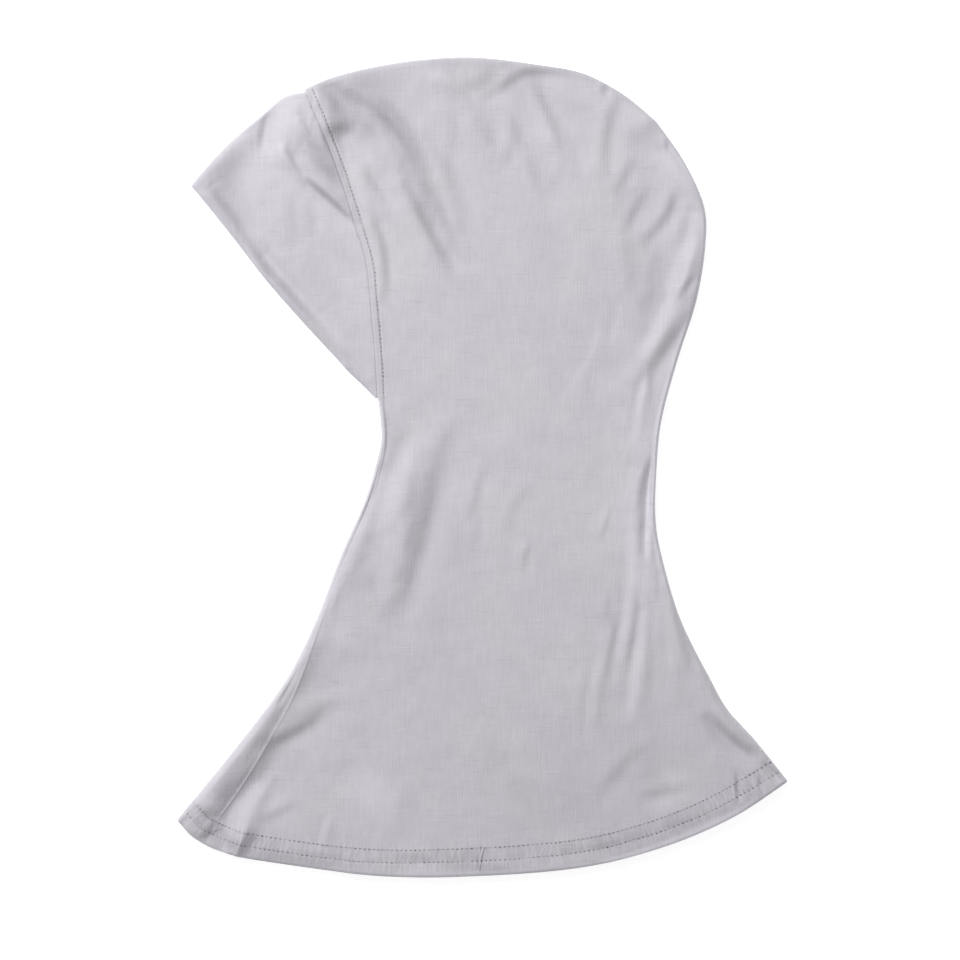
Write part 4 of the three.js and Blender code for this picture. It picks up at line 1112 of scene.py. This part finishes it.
    def _gathered(self, nodes: NodeTree, strip: Gathers) -> bpy.types.NodeSocket:
        """Ribs across a stitched strip, -0.5 to 0.5 and nothing outside it."""
        along, aside = self._chart(nodes, strip.chart)
        leaned = nodes.math("DIVIDE", nodes.math("MULTIPLY_ADD", aside, strip.lean, along), strip.pitch)
        across = nodes.math("MULTIPLY", aside, 0.16 / strip.pitch)
        place = nodes.add("ShaderNodeCombineXYZ")
        nodes.link(leaned, place.inputs["X"])
        nodes.link(across, place.inputs["Y"])
        uneven = nodes.noise(place.outputs["Vector"], 1.0, 2.0)
        even = nodes.math("SINE", nodes.math("MULTIPLY", leaned, 2.0 * math.pi))
        even = nodes.math("MULTIPLY_ADD", even, 0.5, 0.5)
        spread = nodes.math("MULTIPLY_ADD", nodes.noise(place.outputs["Vector"], 0.07, 1.0), 5.0, -2.1)
        even = nodes.math("MULTIPLY", even, nodes.between(spread, 0.0, 1.0))
        uneven = nodes.math("MULTIPLY", uneven, 1.0 - strip.regular)
        wave = nodes.math("MULTIPLY_ADD", even, strip.regular, uneven)
        begun = nodes.math("DIVIDE", nodes.math("SUBTRACT", aside, strip.low), strip.fade)
        left = nodes.math("DIVIDE", nodes.math("SUBTRACT", strip.high, aside), strip.fade)
        inside = nodes.between(nodes.math("MINIMUM", begun, left), 0.0, 1.0)
        return nodes.math("MULTIPLY", nodes.math("SUBTRACT", wave, 0.5), inside)

    def _holes(self, nodes: NodeTree, row: StitchRow) -> tuple[bpy.types.NodeSocket, bpy.types.NodeSocket]:
        """Needle holes of one row and the drawn-in line between them, each 0 to 1."""
        along, aside = self._chart(nodes, row.chart)
        chart = nodes.add("ShaderNodeUVMap", uv_map=row.chart).outputs["UV"]
        sway = nodes.math("SINE", nodes.math("MULTIPLY", along, 230.0))
        wander = nodes.math("MULTIPLY_ADD", sway, 0.00012, aside)
        unsteady = nodes.math("SUBTRACT", nodes.noise(chart, 260.0, 1.0), 0.5)
        wander = nodes.math("MULTIPLY_ADD", unsteady, 0.0008, wander)
        drift = nodes.math("SUBTRACT", nodes.noise(chart, 330.0, 1.0), 0.5)
        step = nodes.math("MULTIPLY_ADD", drift, row.pitch / 2.0, nodes.math("ADD", along, 10.0 * row.pitch))
        beside = nodes.math("SUBTRACT", nodes.math("MODULO", step, row.pitch), row.pitch / 2.0)
        off = nodes.math("SUBTRACT", wander, row.aside)
        stretched = nodes.math("MULTIPLY", beside, row.shape)
        squared = nodes.math("MULTIPLY_ADD", stretched, stretched, nodes.math("MULTIPLY", off, off))
        far = nodes.math("DIVIDE", nodes.math("SQRT", squared), row.hole)
        dot = nodes.math("MULTIPLY", nodes.math("SUBTRACT", 1.0, far), 1.8)
        soft = nodes.between(dot, 0.0, 1.0)
        near = nodes.math("SUBTRACT", 1.0, nodes.math("DIVIDE", nodes.math("ABSOLUTE", off), row.hole))
        near = nodes.math("MAXIMUM", near, 0.0)
        begun = nodes.math("GREATER_THAN", along, row.start)
        left = nodes.math("LESS_THAN", along, row.end)
        shown = nodes.math("MULTIPLY", begun, left)
        uneven = nodes.math("MULTIPLY_ADD", nodes.noise(chart, 170.0, 2.0), 3.4, -0.85)
        uneven = nodes.between(uneven, 0.15, 1.3)
        dots = nodes.math("MULTIPLY", nodes.math("MULTIPLY", soft, shown), uneven)
        return dots, nodes.math("MULTIPLY", near, shown)


def dress(obj: bpy.types.Object, finish: JerseyFinish, thickness: float, node: str) -> float:
    """Gives a piece its finish, its thickness and its place in the part.

    Args:
        obj: The piece, still one layer thick.
        finish: Its finish.
        thickness: Its thickness in millimetres.
        node: The part's node that it replaces.

    Returns:
        The area of one layer in square metres.
    """
    obj.data.materials.append(finish.build())
    area = sheet_area(obj)
    thicken(obj, thickness)
    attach(obj, "root")
    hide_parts(node)
    log.info("%s: %.4f square metres", obj.name, area)
    return area


# One jersey colour: the lower panel and the band are lighter copies and the hem a darker one, painted light
# and shade of whole pieces.
PANEL_TINT = (0.470, 0.453, 0.500)
LOWER_TINT = (0.4935, 0.47565, 0.525)
BAND_TINT = (0.486, 0.468, 0.520)
HEM_TINT = (0.464, 0.447, 0.494)


@dataclass
class HoodPanel:
    """The two side panels of the hood.

    Args:
        plan: The cap's plan.
        columns: Cells across the upper panel.
        rows: Cells down it.
        seam_cells: Fine cells beside its front edge.
        seam_step: Size of those cells in millimetres.
        row_packing: How much closer the upper panel's rows lie at the crown.
        lower_columns: Cells across the lower panel.
        lower_rows: Cells down it.
        strip_cells: Its cells that show on the upper side.
        turn_cells: Its cells round the front fold.
        bend: Radius of the fold in millimetres.
        flat: Flat width and height of a panel in metres. Not used.
    """

    plan: CapPlan
    columns: int = 256
    rows: int = 186
    seam_cells: int = 24
    seam_step: float = 0.4
    row_packing: float = 0.14
    lower_columns: int = 110
    lower_rows: int = 200
    strip_cells: int = 24
    turn_cells: int = 8
    bend: float = 1.3
    flat: Pair = (0.315, 0.425)

    def upper(self) -> bpy.types.Object:
        """The wearer's left panel, which faces up."""
        obj = cloth_grid("hood_left_panel", self.columns, self.rows, self._place_upper, Facing.UP)
        points = vertex_points(obj)
        distance, share, side = chain_reading(points[:, :2], self.plan.face_chain)
        beside = distance - self.plan.strip_width(share) + self.plan.strip_top
        write_rows(obj, "rows", np.stack([share * self.plan.face_seam.length, beside], -1))
        write_rows(obj, "hem", self.plan.hem_reading(points[:, :2]))
        write_painted_shade(obj, self.plan)
        strip = self.plan.strip_top * MM
        holes = {"pitch": 0.0022, "hole": 0.0004, "line": 0.18, "shape": 0.5, "dot": 0.34}
        row = StitchRow("rows", strip, 0.002, 0.194, **holes)
        gathers = (
            Gathers("rows", 0.0002, 0.0070, 0.0012, 0.0013, 0.10),
            Gathers("hem", -0.0060, 0.0040, 0.0045, 0.0017, 0.26),
        )
        finish = JerseyFinish("left_panel_jersey", PANEL_TINT, rows=(row,), gathers=gathers)
        area = dress(obj, finish, self.plan.cloth, "left_panel")
        return obj

    def _place_upper(self, across: np.ndarray, down: np.ndarray) -> np.ndarray:
        """Points of the upper panel's outer side."""
        plan = self.plan
        row = np.clip((1.0 - self.row_packing) * down + self.row_packing * down**2, 0.0, 1.0)
        width = plan.row_width(row)
        inset = np.where(row < plan.chin_share, 0.0, plan.wrap(row))
        share = self.seam_cells / self.columns
        fine = self.seam_cells * self.seam_step
        near = inset + across / share * fine
        far = inset + fine + (across - share) / (1.0 - share) * (width - inset - fine)
        reach = np.where(across < share, near, far)
        points = plan.plan(np.clip(reach / width, 0.0, 1.0), row)
        return np.column_stack([points, plan.surface(points)])

    def lower(self) -> bpy.types.Object:
        """The wearer's right panel, which lies on the surface and rolls over the front fold."""
        columns, rows = self.lower_columns, self.lower_rows
        obj = cloth_grid("hood_right_panel", columns, rows, self._place_lower, Facing.DOWN)
        write_painted_shade(obj, self.plan)
        finish = JerseyFinish("right_panel_jersey", LOWER_TINT)
        area = dress(obj, finish, self.plan.cloth, "right_panel")
        return obj

    def _place_lower(self, across: np.ndarray, down: np.ndarray) -> np.ndarray:
        """Points of the lower panel's outer side, from the neck seam round the fold to the back."""
        plan = self.plan
        width = plan.row_width(down)
        wrapped = down > plan.chin_share - 0.0001
        step = across * self.lower_columns
        turned = self.strip_cells + self.turn_cells
        top = np.clip(1.0 - step / self.strip_cells, 0.0, 1.0) * plan.wrap(down)
        turn = np.clip((step - self.strip_cells) / self.turn_cells, 0.0, 1.0) * math.pi / 2.0
        lower = np.clip((step - turned) / (self.lower_columns - turned), 0.0, 1.0)
        under = self.bend + lower * (width - self.bend)
        on_top, on_turn = step <= self.strip_cells, (step > self.strip_cells) & (step <= turned)
        reach = np.where(on_top, top, np.where(on_turn, self.bend * (1.0 - np.cos(turn)), under))
        reach = np.where(wrapped, reach, np.where(step <= turned, self.bend * step / turned, under))
        points = plan.plan(np.clip(reach / width, 0.0, 1.0), down)
        height = np.zeros(len(points))
        upper = on_top & wrapped
        height[upper] = plan.surface(points[upper])
        around = on_turn & wrapped
        height[around] = (plan.edge_low(points) * (1.0 - np.sin(turn)))[around]
        return np.column_stack([points, height])


@dataclass
class FaceBand:
    """The doubled forehead band, folded at the forehead and open at its free edge.

    Args:
        plan: The cap's plan.
        columns: Cells from the seam to the free edge.
        rows: Cells from the chin round the fold and back.
        turn_cells: Cells round the fold.
        end_share: Share of the seam at which the band ends.
        packing: How much closer the upper rows lie at the fold.
        free_roll: How far the free edge drops and over what width, in millimetres.
        free_lip: The same for its outermost lip.
        flat: Flat width and height of the folded band in metres. Not used.
    """

    plan: CapPlan
    columns: int = 84
    rows: int = 230
    turn_cells: int = 10
    end_share: float = 0.992
    packing: float = 1.25
    free_roll: Pair = (1.5, 8.0)
    free_lip: Pair = (0.9, 1.6)
    flat: Pair = (0.165, 0.165)

    def build(self) -> bpy.types.Object:
        """Makes and dresses the band."""
        obj = cloth_grid("forehead_band", self.columns, self.rows, self._place, Facing.UP)
        points = vertex_points(obj)
        distance, share, _ = chain_reading(points[:, :2], self.plan.face_chain)
        write_rows(obj, "rows", np.stack([share * self.plan.face_seam.length, distance], -1))
        write_painted_shade(obj, self.plan)
        # A dark line with no holes beside the face seam: painted shade along the seam.
        seam = StitchRow("rows", 0.0004, 0.004, 0.196, hole=0.0008, line=0.22, dot=0.0)
        finish = JerseyFinish("face_band_jersey", BAND_TINT, rib=0.25, rows=(seam,))
        area = dress(obj, finish, self.plan.doubled, "face_band")
        return obj

    def _place(self, across: np.ndarray, down: np.ndarray) -> np.ndarray:
        """Points of the outer side: the upper half, the fold and the lower half."""
        plan = self.plan
        step = down * self.rows
        half = (self.rows - self.turn_cells) / 2.0
        bend = plan.doubled + BEND_ROOM
        upper, turning = step <= half, (step > half) & (step < half + self.turn_cells)
        rise = np.clip(step / half, 0.0, 1.0)
        fall = np.clip((step - half - self.turn_cells) / half, 0.0, 1.0)
        share = self.end_share * np.where(step <= half + 1, (1.0 - rise) ** self.packing, fall)
        points = plan.band_line(across, share)
        turn = np.clip((step - half) / self.turn_cells, 0.0, 1.0) * math.pi / 2.0
        tangent = plan.band_fold.tangent(across)
        inward = np.stack([-tangent[:, 1], tangent[:, 0]], -1)
        points += inward * np.where(upper, 0.0, bend * (1.0 - np.cos(turn)) * (1.0 - fall) ** 8)[:, None]
        height = np.where(turning, plan.edge_low(points) * (1.0 - np.sin(turn)), 0.0)
        height[upper] = plan.surface(points[upper])
        seam, free = plan.face_seam.at(share[upper]), plan.band_free_edge.at(share[upper])
        reach = (1.0 - across[upper]) * np.linalg.norm(seam - free, axis=1)
        for drop, width in (self.free_roll, self.free_lip):
            height[upper] -= drop * (1.0 - ease(reach / width))
        return np.column_stack([points, height])


@dataclass
class HemBand:
    """The doubled hem, one loop round both halves.

    Args:
        plan: The cap's plan.
        columns: Cells round the loop.
        rows: Cells down it.
        upper_share: Share of the columns on the upper side.
        turn_share: Share of the others round each end.
        length: Length of the loop in metres. Not used.
    """

    plan: CapPlan
    columns: int = 760
    rows: int = 30
    upper_share: float = 0.62
    turn_share: float = 0.06
    length: float = 0.699

    def build(self) -> bpy.types.Object:
        """Makes and dresses the hem."""
        obj = cloth_grid("hem_loop", self.columns, self.rows, self._place, Facing.UP, ring=True)
        points = vertex_points(obj)
        write_rows(obj, "hem", self.plan.hem_reading(points[:, :2]))
        top, edge = np.array(HEM_JOIN[0]), np.array(HEM_JOIN[-1])
        run = (edge - top) / np.linalg.norm(edge - top)
        offset = points[:, :2] - top
        down = np.where(points[:, 2] > self.plan.doubled, offset @ run, -1.0)
        write_rows(obj, "join", np.stack([down, run[0] * offset[:, 1] - run[1] * offset[:, 0]], -1))
        write_painted_shade(obj, self.plan)
        rows = (
            StitchRow("hem", 0.0003, 0.001, 0.345, hole=0.00052, dot=0.55),
            StitchRow("hem", 0.0072, 0.001, 0.345, hole=0.00050, dot=0.48),
            # A dark line on one side of the join and a lighter line on the other: painted shade and painted
            # highlight along the join.
            StitchRow("join", 0.0004, 0.0002, 0.0132, hole=0.00065, line=0.48, dot=0.0),
            StitchRow("join", -0.0007, 0.0002, 0.0080, hole=0.00055, line=-0.17, dot=0.0),
        )
        gathers = (
            Gathers("hem", -0.0020, 0.0130, 0.0010, 0.0017, 0.42),
            Gathers("hem", 0.0040, 0.0076, 0.0012, 0.00254, 0.19, lean=0.55, regular=0.8),
            Gathers("hem", 0.0000, 0.0018, 0.0008, 0.00254, 0.20, lean=0.55, regular=0.8),
        )
        finish = JerseyFinish("hem_jersey", HEM_TINT, rows=rows, gathers=gathers)
        area = dress(obj, finish, self.plan.doubled, "hem_band")
        return obj

    def _place(self, across: np.ndarray, down: np.ndarray) -> np.ndarray:
        """Points of the outer side, round the loop and down it."""
        plan = self.plan
        upper = across <= self.upper_share
        ahead = np.clip(across / self.upper_share, 0.0, 1.0)
        behind = np.clip((across - self.upper_share) / (1.0 - self.upper_share), 0.0, 1.0)
        length = plan.hem_edge.length
        bend = plan.doubled + BEND_ROOM
        first = np.clip(behind / self.turn_share, 0.0, 1.0) * math.pi / 2.0
        last = np.clip((behind - 1.0 + self.turn_share) / self.turn_share, 0.0, 1.0) * math.pi / 2.0
        middle = np.clip((behind - self.turn_share) / (1.0 - 2.0 * self.turn_share), 0.0, 1.0)
        back_reach = bend * (1.0 - np.cos(first))
        front_reach = bend * (1.0 - np.sin(last))
        lower = (length - back_reach) * (1.0 - middle) + front_reach * middle
        near_end = behind >= 1.0 - self.turn_share
        near_start = behind <= self.turn_share
        lower = np.where(near_end, front_reach, np.where(near_start, length - back_reach, lower))
        along = np.where(upper, ahead, lower / length)
        points = plan.hem_line(along, down)
        first_height = plan.edge_low(points) * (1.0 - np.sin(first))
        last_height = plan.edge_low(points) * (1.0 - np.cos(last))
        height = np.where(behind < self.turn_share, first_height, np.where(near_end, last_height, 0.0))
        height[upper] = plan.surface(points[upper])
        return np.column_stack([points, height])


@dataclass
class Studio:
    """The pale surface, the soft light and the camera straight above.

    Args:
        lens: Focal length in millimetres.
        frame_width: Width of the picture at the cap in metres.
        aim: The point that the camera looks at.
        surround: Strength of the pale surround.
        glow: The surface's own brightness.
        key_place: Place of the key light.
        key_size: Its width in metres.
        key_power: Its power in watts.
    """

    lens: float = 110.0
    frame_width: float = 0.5088
    aim: tuple[float, float, float] = (-0.0013, -0.0072, 0.006)
    surround: float = 0.56
    glow: float = 0.53
    key_place: tuple[float, float, float] = (-0.640, 0.806, 1.15)
    key_size: float = 0.66
    key_power: float = 20.6

    def build(self) -> None:
        """Makes the camera first and then the surface and the light."""
        self._camera()
        self._surface()
        self._light()

    def _camera(self) -> None:
        """A long lens straight above the cap, its top edge towards the crown."""
        data = bpy.data.cameras.new("camera")
        data.lens = self.lens
        data.sensor_width = 36.0
        camera = bpy.data.objects.new("camera", data)
        bpy.context.scene.collection.objects.link(camera)
        x, y, z = self.aim
        camera.location = (x, y, z + self.frame_width * self.lens / data.sensor_width)
        bpy.context.scene.camera = camera

    def _surface(self) -> None:
        """A plain white surface."""
        bm = bmesh.new()
        bmesh.ops.create_grid(bm, x_segments=2, y_segments=2, size=4.0)
        mesh = bpy.data.meshes.new("surface")
        bm.to_mesh(mesh)
        bm.free()
        surface = bpy.data.objects.new("surface", mesh)
        surface.location.z = -0.0002
        bpy.context.scene.collection.objects.link(surface)
        material = bpy.data.materials.new("white_surface")
        material.use_nodes = True
        shader = material.node_tree.nodes["Principled BSDF"]
        shader.inputs["Base Color"].default_value = (0.93, 0.93, 0.93, 1.0)
        shader.inputs["Roughness"].default_value = 0.9
        shader.inputs["Specular IOR Level"].default_value = 0.1
        shader.inputs["Emission Color"].default_value = (1.0, 1.0, 1.0, 1.0)
        shader.inputs["Emission Strength"].default_value = self.glow
        mesh.materials.append(material)

    def _light(self) -> None:
        """A wide soft key from the upper left and an even pale surround."""
        world = bpy.data.worlds.new("surround")
        world.use_nodes = True
        background = world.node_tree.nodes["Background"]
        background.inputs["Color"].default_value = (1.0, 1.0, 1.0, 1.0)
        background.inputs["Strength"].default_value = self.surround
        bpy.context.scene.world = world
        data = bpy.data.lights.new("key", "AREA")
        data.shape = "DISK"
        data.size = self.key_size
        data.energy = self.key_power
        key = bpy.data.objects.new("key", data)
        bpy.context.scene.collection.objects.link(key)
        key.location = self.key_place
        key.rotation_mode = "QUATERNION"
        key.rotation_quaternion = (Vector((0.0, 0.0, 0.0)) - key.location).to_track_quat("-Z", "Y")
        bpy.context.scene.view_settings.view_transform = "Standard"


def main() -> None:
    """Builds the cap and its studio."""
    logging.basicConfig(level=logging.INFO)
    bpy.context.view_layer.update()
    Studio().build()
    plan = CapPlan()
    panels = HoodPanel(plan)
    panels.upper()
    panels.lower()
    FaceBand(plan).build()
    HemBand(plan).build()


if __name__ == "__main__":
    main()
